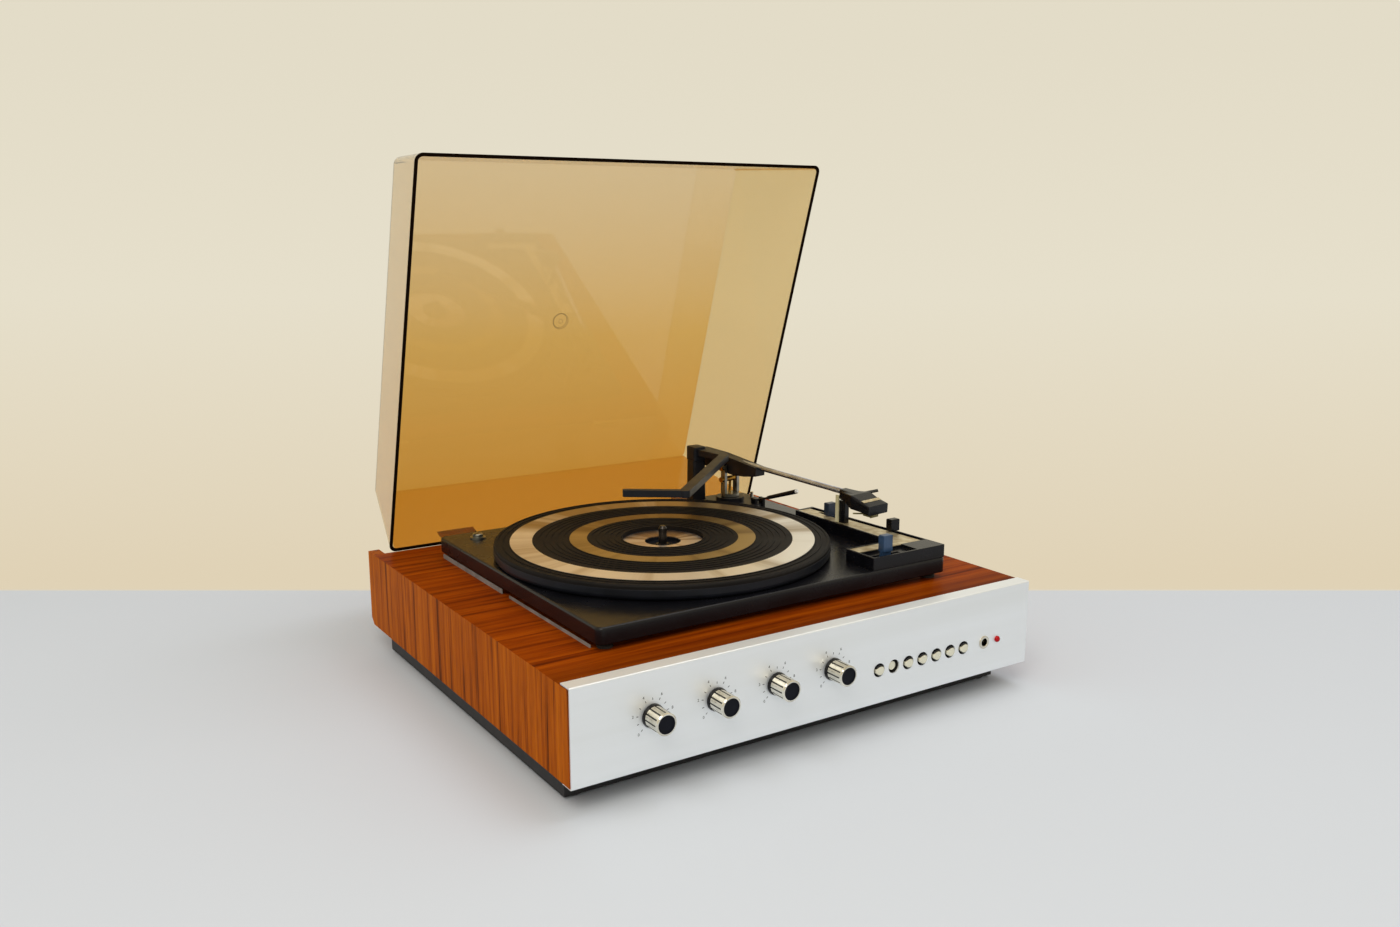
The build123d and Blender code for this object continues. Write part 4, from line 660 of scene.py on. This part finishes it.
def finished(mesh: bmesh.types.BMesh, name: str, material: bpy.types.Material, body: str) -> None:
    """Makes an object of a mesh and lets it ride.

    Args:
        mesh: The piece's mesh, in metres in the player's frame. It is freed.
        name: The piece's name.
        material: Its material.
        body: The body that it moves with.
    """
    bmesh.ops.recalc_face_normals(mesh, faces=mesh.faces)
    data = bpy.data.meshes.new(name)
    mesh.to_mesh(data)
    mesh.free()
    data.materials.append(material)
    piece = bpy.data.objects.new(name, data)
    bpy.context.scene.collection.objects.link(piece)
    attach(piece, body)
    LOG.info("made %s: %d faces", name, len(data.polygons))


def block(mesh: bmesh.types.BMesh, size: Triple, where: Matrix) -> None:
    """Adds a box to a mesh.

    Args:
        mesh: The mesh that takes the box.
        size: Its three sides in millimetres.
        where: Its middle and turn, in metres.
    """
    made = bmesh.ops.create_cube(mesh, size=1.0)["verts"]
    bmesh.ops.scale(mesh, vec=Vector(size) * MM, verts=made)
    bmesh.ops.transform(mesh, matrix=where, verts=made)


def rod(mesh: bmesh.types.BMesh, radius: float, start: Vector, end: Vector, tip: float | None = None) -> None:
    """Adds a round rod to a mesh.

    Args:
        mesh: The mesh that takes the rod.
        radius: Its radius in millimetres.
        start: The middle of its first end, in metres.
        end: The middle of its second end, in metres.
        tip: The radius at the second end, if that differs.
    """
    run = end - start
    made = bmesh.ops.create_cone(
        mesh,
        cap_ends=True,
        segments=ROD_SIDES,
        radius1=radius * MM,
        radius2=(radius if tip is None else tip) * MM,
        depth=run.length,
    )["verts"]
    turn = Vector((0, 0, 1)).rotation_difference(run).to_matrix().to_4x4()
    bmesh.ops.transform(mesh, matrix=Matrix.Translation((start + end) / 2) @ turn, verts=made)


@dataclass
class DialMarks:
    """Printed ticks and plain numbers round the knobs. Angles are degrees, and lengths are millimetres."""

    radius: float = 12.2
    number_out: float = 3.6
    number_size: float = 3.0
    tick_width: float = 0.45
    tick_length: float = 1.6
    ink_mm: float = 0.05
    last: int = 10
    first_angle: float = 225.0
    step_angle: float = 27.0

    def angle(self, step: int) -> float:
        """The angle of a step on a dial, in radians from the right."""
        return radians(self.first_angle - self.step_angle * step)

    def spot(self, x: float, step: int, out: float) -> Vector:
        """A point on a dial.

        Args:
            x: The knob's place across.
            step: The step of its scale.
            out: Millimetres out from the knob's middle.

        Returns:
            The point in metres in the player's frame.
        """
        angle = self.angle(step)
        return place(x + out * cos(angle), -self.ink_mm / 2, KNOB_Z + out * sin(angle))

    def ticks(self) -> None:
        """Prints eleven ticks round each knob."""
        mesh = bmesh.new()
        for x in KNOB_X:
            for step in range(self.last + 1):
                turn = Matrix.Rotation(pi / 2 - self.angle(step), 4, "Y")
                where = Matrix.Translation(self.spot(x, step, self.radius)) @ turn
                block(mesh, (self.tick_width, self.ink_mm, self.tick_length), where)
        finished(mesh, "dial_ticks", MARK_INK.material(), "cabinet")

    def numbers(self) -> None:
        """Prints 0 to 10 in twos round each knob."""
        for k, x in enumerate(KNOB_X):
            for i in range(0, self.last + 1, 2):
                text = bpy.data.curves.new(f"dial_{k}_{i}", "FONT")
                text.body = str(i)
                text.size = self.number_size * MM
                text.align_x = "CENTER"
                text.align_y = "CENTER"
                text.extrude = self.ink_mm / 2 * MM
                shown = bpy.data.objects.new(text.name, text)
                bpy.context.scene.collection.objects.link(shown)
                bpy.context.view_layer.update()
                data = bpy.data.meshes.new_from_object(shown)
                bpy.data.objects.remove(shown)
                centre = self.spot(x, i, self.radius + self.number_out)
                data.transform(Matrix.Translation(centre) @ Matrix.Rotation(pi / 2, 4, "X"))
                data.materials.append(MARK_INK.material())
                piece = bpy.data.objects.new(f"dial_number_{k}_{i}", data)
                bpy.context.scene.collection.objects.link(piece)
                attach(piece, "cabinet")
        LOG.info("printed the dial numbers")

    def build(self) -> None:
        """Prints all the marks."""
        self.ticks()
        self.numbers()


@dataclass
class KnobTrim:
    """What finishes each knob: a dark skirt at its foot and dark strips laid in its grooves. Lengths are millimetres.

    The skirt stands out from the knob's radius by one amount at its back and another at its front.
    """

    radius: float = 8.0
    length: float = 18.0
    skirt_out: tuple[float, float] = (0.7, 0.3)
    skirt_y: tuple[float, float] = (-0.4, -2.9)
    grooves: int = 12
    fill_thick: float = 0.36
    fill_wide: float = 1.0
    fill_in: float = 0.42
    fill_forward: float = 1.2
    fill_short: float = 4.6

    def build(self) -> None:
        """Finishes all four knobs."""
        for name, x in zip(KNOB_NAMES, KNOB_X):
            skirt = bmesh.new()
            back, front = (place(x, y, KNOB_Z) for y in self.skirt_y)
            rod(skirt, self.radius + self.skirt_out[0], back, front, self.radius + self.skirt_out[1])
            finished(skirt, f"{name}_knob_skirt", ABS_GLOSS.material(), f"{name}_knob")
            # Dark strips laid in the grooves, which make them read dark.
            fills = bmesh.new()
            axis = Matrix.Translation(place(x, 0.0, KNOB_Z))
            middle = Vector((self.radius - self.fill_in, -self.length / 2 - self.fill_forward, 0.0)) * MM
            size = (self.fill_thick, self.length - self.fill_short, self.fill_wide)
            for i in range(self.grooves):
                turn = Matrix.Rotation(2 * pi * i / self.grooves, 4, "Y")
                block(fills, size, axis @ turn @ Matrix.Translation(middle))
            finished(fills, f"{name}_knob_groove_dark_strips", MARK_INK.material(), f"{name}_knob")


@dataclass
class ArmTrim:
    """Small parts of the arm and beside it, with sizes in millimetres.

    The pivot, rest, lever and pin are measured from the cabinet's front left corner. The gimbal's rods, which are
    two screws, a cross pin and an upright shaft, have a radius, a start and an end in the arm's own frame. The
    brow is the slope at the head's top, measured from where the head starts.
    """

    pivot: Triple = (338.0, 306.0, 132.5)
    rest: tuple[float, float] = (359.0, 156.0)
    droop: float = 2.8
    head_start: float = 150.06
    brow_start: float = 21.0
    brow_top: float = 2.8
    brow_length: float = 21.0
    brow_drop: float = 5.9
    band_reach: float = 12.5
    band_proud: float = 0.1
    band_size: Triple = (22.8, 3.6, 0.24)
    gimbal_rods: tuple[tuple[float, Triple, Triple], ...] = (
        (2.3, (0.4, -11.0, -8.0), (0.4, -12.4, -8.0)),
        (2.3, (0.4, 11.0, -8.0), (0.4, 12.4, -8.0)),
        (2.6, (1.0, -12.6, -19.0), (1.0, 5.0, -19.0)),
        (1.4, (1.0, 0.0, -34.0), (1.0, 0.0, -19.0)),
    )
    collar_radius: float = 2.62
    collar_before_head: tuple[float, float] = (12.0, 0.3)
    strip_along: float = -3.9
    strip_side: float = -4.55
    strip_size: tuple[float, float] = (1.3, 3.5)
    strip_foot: float = 0.5
    strip_proud: float = 0.1
    lever_hinge: Triple = (356.0, 283.0, 93.4)
    lever_end: Triple = (362.0, 229.0, 111.4)
    tip_radii: tuple[float, float] = (2.0, 1.5)
    tip_in: float = 0.6
    tip_out: float = 1.3
    grip_radii: tuple[float, float] = (1.9, 2.25)
    grip_in: float = 40.0
    pin_radius: float = 1.66
    pin_at: tuple[float, float] = (363.4, 304.0)
    pin_z: tuple[float, float] = (90.7, 96.7)

    def ways(self) -> tuple[Vector, Vector]:
        """The arm's level way from its pivot to its rest, and the way across it."""
        run = Vector((self.rest[0] - self.pivot[0], self.rest[1] - self.pivot[1], 0.0)).normalized()
        return run, Vector((-run.y, run.x, 0.0))

    def spot(self, along: float, side: float, up: float) -> Vector:
        """A point in the arm's own frame.

        Args:
            along: Millimetres from the pivot towards the head.
            side: Millimetres across the tube.
            up: Millimetres above the tube's middle.

        Returns:
            The point in metres in the player's frame.
        """
        run, across = self.ways()
        lean = radians(self.droop)
        ahead = run * cos(lean) + Vector((0.0, 0.0, -sin(lean)))
        above = run * sin(lean) + Vector((0.0, 0.0, cos(lean)))
        return place(*self.pivot) + (ahead * along + across * side + above * up) * MM

    def band(self) -> None:
        """Lays a bright strip over the head's brow."""
        brow = self.head_start + self.brow_start
        fall = self.brow_drop / self.brow_length
        middle = self.spot(
            brow + self.band_reach, 0.0, self.brow_top - fall * self.band_reach + self.band_proud
        )
        low = self.spot(brow + self.brow_length, 0.0, self.brow_top - self.brow_drop)
        ahead = (low - self.spot(brow, 0.0, self.brow_top)).normalized()
        across = (self.spot(0.0, 1.0, 0.0) - self.spot(0.0, 0.0, 0.0)).normalized()
        turn = Matrix((across, ahead, across.cross(ahead))).transposed().to_4x4()
        mesh = bmesh.new()
        block(mesh, self.band_size, Matrix.Translation(middle) @ turn)
        finished(mesh, "headshell_band", SCALE_FOIL.material(), "tonearm")

    def gimbal(self) -> None:
        """Fits the brass screws, cross pin and shaft between the turret's uprights."""
        mesh = bmesh.new()
        for radius, start, end in self.gimbal_rods:
            rod(mesh, radius, self.spot(*start), self.spot(*end))
        finished(mesh, "gimbal_brass", BRASS.material(), "tonearm_turret")

    def collar(self) -> None:
        """Slips a bright collar on the tube just before the head."""
        mesh = bmesh.new()
        start, end = (self.spot(self.head_start - before, 0, 0) for before in self.collar_before_head)
        rod(mesh, self.collar_radius, start, end)
        finished(mesh, "tube_collar", TUBE_STEEL.material(), "tonearm")

    def guide_strip(self) -> None:
        """Puts the cream face on the guide strip beside the arm rest."""
        mesh = bmesh.new()
        low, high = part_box("arm_rest")
        run, across = self.ways()
        middle = place(*self.rest, 0.0) + (run * self.strip_along + across * self.strip_side) * MM
        turn = Matrix.Rotation(Vector((0, 1)).angle_signed(Vector((-run.x, -run.y))) * -1, 4, "Z")
        foot = low[2] + self.strip_foot * MM
        middle.z = (foot + high[2]) / 2
        tall = (high[2] - foot) / MM + self.strip_proud
        block(mesh, (*self.strip_size, tall), Matrix.Translation(middle) @ turn)
        finished(mesh, "rest_strip_face", ABS_CREAM.material(), "cabinet")

    def lever(self) -> None:
        """Fits the cueing lever's white tip and black grip."""
        hinge, end = place(*self.lever_hinge), place(*self.lever_end)
        way = (end - hinge).normalized()
        joint = end - way * self.tip_in * MM
        tip = bmesh.new()
        rod(tip, self.tip_radii[0], joint, end + way * self.tip_out * MM, self.tip_radii[1])
        finished(tip, "cue_lever_tip", TIP_WHITE.material(), "cue_lever")
        grip = bmesh.new()
        rod(grip, self.grip_radii[0], end - way * self.grip_in * MM, joint, self.grip_radii[1])
        finished(grip, "cue_lever_grip", ABS_BLACK.material(), "cue_lever")

    def pin(self) -> None:
        """Faces the pin on the arm's base with bright metal."""
        mesh = bmesh.new()
        rod(mesh, self.pin_radius, *(place(*self.pin_at, z) for z in self.pin_z))
        finished(mesh, "arm_base_pin_face", NICKEL.material(), "cabinet")

    def build(self) -> None:
        """Makes every small part."""
        self.band()
        self.gimbal()
        self.collar()
        self.guide_strip()
        self.lever()
        self.pin()


@dataclass
class ScaleMarks:
    """Printed dashes beside the levers on the scale plate, with places and sizes in millimetres."""

    level: float = 96.45
    strip_x: float = 356.5
    strip_y: tuple[float, ...] = (96.0, 102.0, 108.0, 114.0, 120.0, 168.0, 175.0, 182.0, 189.0, 196.0)
    strip_dash: Triple = (5.0, 0.6, 0.06)
    foot_x: tuple[float, ...] = (312.0, 318.0, 324.0, 330.0, 336.0)
    foot_y: float = 77.5
    foot_dash: Triple = (0.6, 4.6, 0.06)

    def build(self) -> None:
        """Prints the dashes."""
        mesh = bmesh.new()
        for y in self.strip_y:
            block(mesh, self.strip_dash, Matrix.Translation(place(self.strip_x, y, self.level)))
        for x in self.foot_x:
            block(mesh, self.foot_dash, Matrix.Translation(place(x, self.foot_y, self.level)))
        finished(mesh, "scale_dashes", MARK_INK.material(), "cabinet")


@dataclass
class DeckSeal:
    """Grey felt in the gap under the deck's left edge, in two lengths: near end, far end and height in millimetres."""

    runs: tuple[Triple, ...] = ((212.0, 338.0, 3.8), (62.0, 198.0, 2.2))
    left: float = 49.2
    thick: float = 0.9

    def build(self) -> None:
        """Lays both lengths on the top panel."""
        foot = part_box("top_panel")[1][2]
        mesh = bmesh.new()
        for near, far, tall in self.runs:
            middle = place(self.left, (near + far) / 2, 0.0)
            middle.z = foot + tall / 2 * MM
            block(mesh, (self.thick, far - near, tall), Matrix.Translation(middle))
        finished(mesh, "deck_side_seal", FELT.material(), "cabinet")


@dataclass
class RearFittings:
    """Screws that hold the rear panel, with places and sizes in millimetres."""

    across: tuple[float, ...] = (24.0, 150.0, 280.0, 406.0)
    up: tuple[float, ...] = (7.0, 61.0)
    head_radii: tuple[float, float] = (3.0, 2.4)
    sunk: tuple[float, float] = (0.4, 0.02)

    def build(self) -> None:
        """Fits the screws."""
        panel_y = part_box("rear_panel")[1][1] / MM - FASCIA_FRONT
        mesh = bmesh.new()
        for x in self.across:
            for z in self.up:
                start, end = (place(x, panel_y - depth, z) for depth in self.sunk)
                rod(mesh, self.head_radii[0], start, end, self.head_radii[1])
        finished(mesh, "rear_panel_screws", STEEL.material(), "cabinet")


@dataclass
class Studio:
    """The pale floor, the painted wall, the soft light and the camera.

    Lamps have a name, a place and a side in metres, a power in watts and a colour. The camera's place is given in
    millimetres, and its yaw and pitch in degrees.
    """

    wall: tuple[tuple[float, str], ...] = ((0.38, "e0d2b6"), (0.68, "e6dfcb"), (0.95, "e3dcc8"))
    floor_size: float = 30.0
    floor_tones: tuple[tuple[float, str], ...] = ((0.0, "cfd3d7"), (1.0, "e9dfc3"))
    floor_roughness: float = 0.9
    floor_specular: float = 0.1
    far_edge: float = 1.2215
    edge_blur: float = 0.004
    room: str = "f4f1ea"
    room_levels: tuple[float, float] = (0.75, 1.0)
    lamps: tuple[tuple[str, Triple, float, float, str], ...] = (
        ("key", (-1.3, -1.5, 2.0), 1.4, 28.0, "fffaf2"),
        ("overhead", (0.55, -0.25, 2.1), 1.1, 10.0, "eef2ff"),
    )
    lit_point: Triple = (0.0, 0.0, 0.1)
    camera_at: Triple = (-324.05, -646.43, 361.60)
    yaw: float = 33.326
    pitch: float = 11.378
    lens: float = 30.617
    sensor: float = 36.0
    near_clip: float = 0.01

    def backdrop(self, tree: Tree) -> Socket:
        """Adds the painted wall's colour, which pales upwards across the picture.

        Args:
            tree: The node tree that takes the nodes.

        Returns:
            The colour's output socket.
        """
        seen = add_node(tree, "ShaderNodeTexCoord", {}).outputs["Window"]
        return ramp(tree, self.wall, add_node(tree, "ShaderNodeSeparateXYZ", {}, Vector=seen).outputs["Y"])

    def floor(self) -> None:
        """Lays a pale floor that turns to the painted wall at its far edge, measured out from the camera."""
        mesh = bmesh.new()
        bmesh.ops.create_grid(mesh, x_segments=1, y_segments=1, size=self.floor_size)
        data = bpy.data.meshes.new("floor")
        mesh.to_mesh(data)
        mesh.free()
        ground = bpy.data.objects.new("floor", data)
        bpy.context.scene.collection.objects.link(ground)
        made, tree, shader = started("paper_pale_matte")
        shader.inputs["Roughness"].default_value = self.floor_roughness
        shader.inputs["Specular IOR Level"].default_value = self.floor_specular
        eye = place(*self.camera_at)
        turned = add_node(
            tree,
            "ShaderNodeMapping",
            {"vector_type": "TEXTURE", "in": {"Location": (eye.x, eye.y, 0), "Rotation": (0, 0, -radians(self.yaw))}},
            Vector=object_place(tree),
        ).outputs["Vector"]
        ahead = add_node(tree, "ShaderNodeSeparateXYZ", {}, Vector=turned).outputs["Y"]
        edge = ranged(tree, ahead, (self.far_edge - self.edge_blur, self.far_edge + self.edge_blur))
        link(tree, shader, Base_Color=ramp(tree, self.floor_tones, edge))
        glow = add_node(tree, "ShaderNodeEmission", {}, Color=self.backdrop(tree))
        mixed = crossed(tree, edge, shader.outputs["BSDF"], glow.outputs["Emission"])
        link(tree, tree.nodes["Material Output"], Surface=mixed)
        data.materials.append(made)

    def lamp(self, name: str, at: Triple, size: float, power: float, colour: str) -> None:
        """Hangs one square lamp that points at the player.

        Args:
            name: The lamp's name.
            at: Its place in metres.
            size: Its side in metres.
            power: Its power in watts.
            colour: Its colour as sRGB hex.
        """
        light = bpy.data.lights.new(name, "AREA")
        light.shape = "SQUARE"
        light.size = size
        light.energy = power
        light.color = linear(colour)[:3]
        hung = bpy.data.objects.new(name, light)
        hung.location = at
        hung.rotation_euler = (Vector(self.lit_point) - Vector(at)).to_track_quat("-Z", "Y").to_euler()
        bpy.context.scene.collection.objects.link(hung)

    def light(self) -> None:
        """Sets the world's even light, which shows as the painted wall, and the soft lamps."""
        world = bpy.data.worlds.new("studio")
        bpy.context.scene.world = world
        world.use_nodes = True
        tree = world.node_tree
        path = add_node(tree, "ShaderNodeLightPath", {})
        seen = path.outputs["Is Camera Ray"]
        for ray in ("Is Transmission Ray", "Is Glossy Ray"):
            seen = calculated(tree, "MAXIMUM", i0=seen, i1=path.outputs[ray])
        settings = {"data_type": "RGBA", "in": {6: linear(self.room)}}
        shown = add_node(tree, "ShaderNodeMix", settings, i0=seen, i7=self.backdrop(tree)).outputs[2]
        link(tree, tree.nodes["Background"], Color=shown, Strength=ranged(tree, seen, given=self.room_levels))
        for row in self.lamps:
            self.lamp(*row)

    def shoot(self) -> None:
        """Places the camera as the photograph was taken."""
        eye = bpy.data.cameras.new("camera")
        eye.lens = self.lens
        eye.sensor_width = self.sensor
        eye.sensor_fit = "HORIZONTAL"
        eye.clip_start = self.near_clip
        held = bpy.data.objects.new("camera", eye)
        held.location = place(*self.camera_at)
        held.rotation_euler = (radians(90 - self.pitch), 0, -radians(self.yaw))
        bpy.context.scene.collection.objects.link(held)
        bpy.context.scene.camera = held
        bpy.context.scene.view_settings.view_transform = "Standard"

    def build(self) -> None:
        """Sets up the whole studio."""
        self.floor()
        self.light()
        self.shoot()


def main() -> None:
    """Builds the looks in order."""
    logging.basicConfig(level=logging.INFO, format="%(message)s")
    dress_nodes()
    DialMarks().build()
    KnobTrim().build()
    ArmTrim().build()
    ScaleMarks().build()
    DeckSeal().build()
    RearFittings().build()
    Studio().build()


if __name__ == "__main__":
    main()
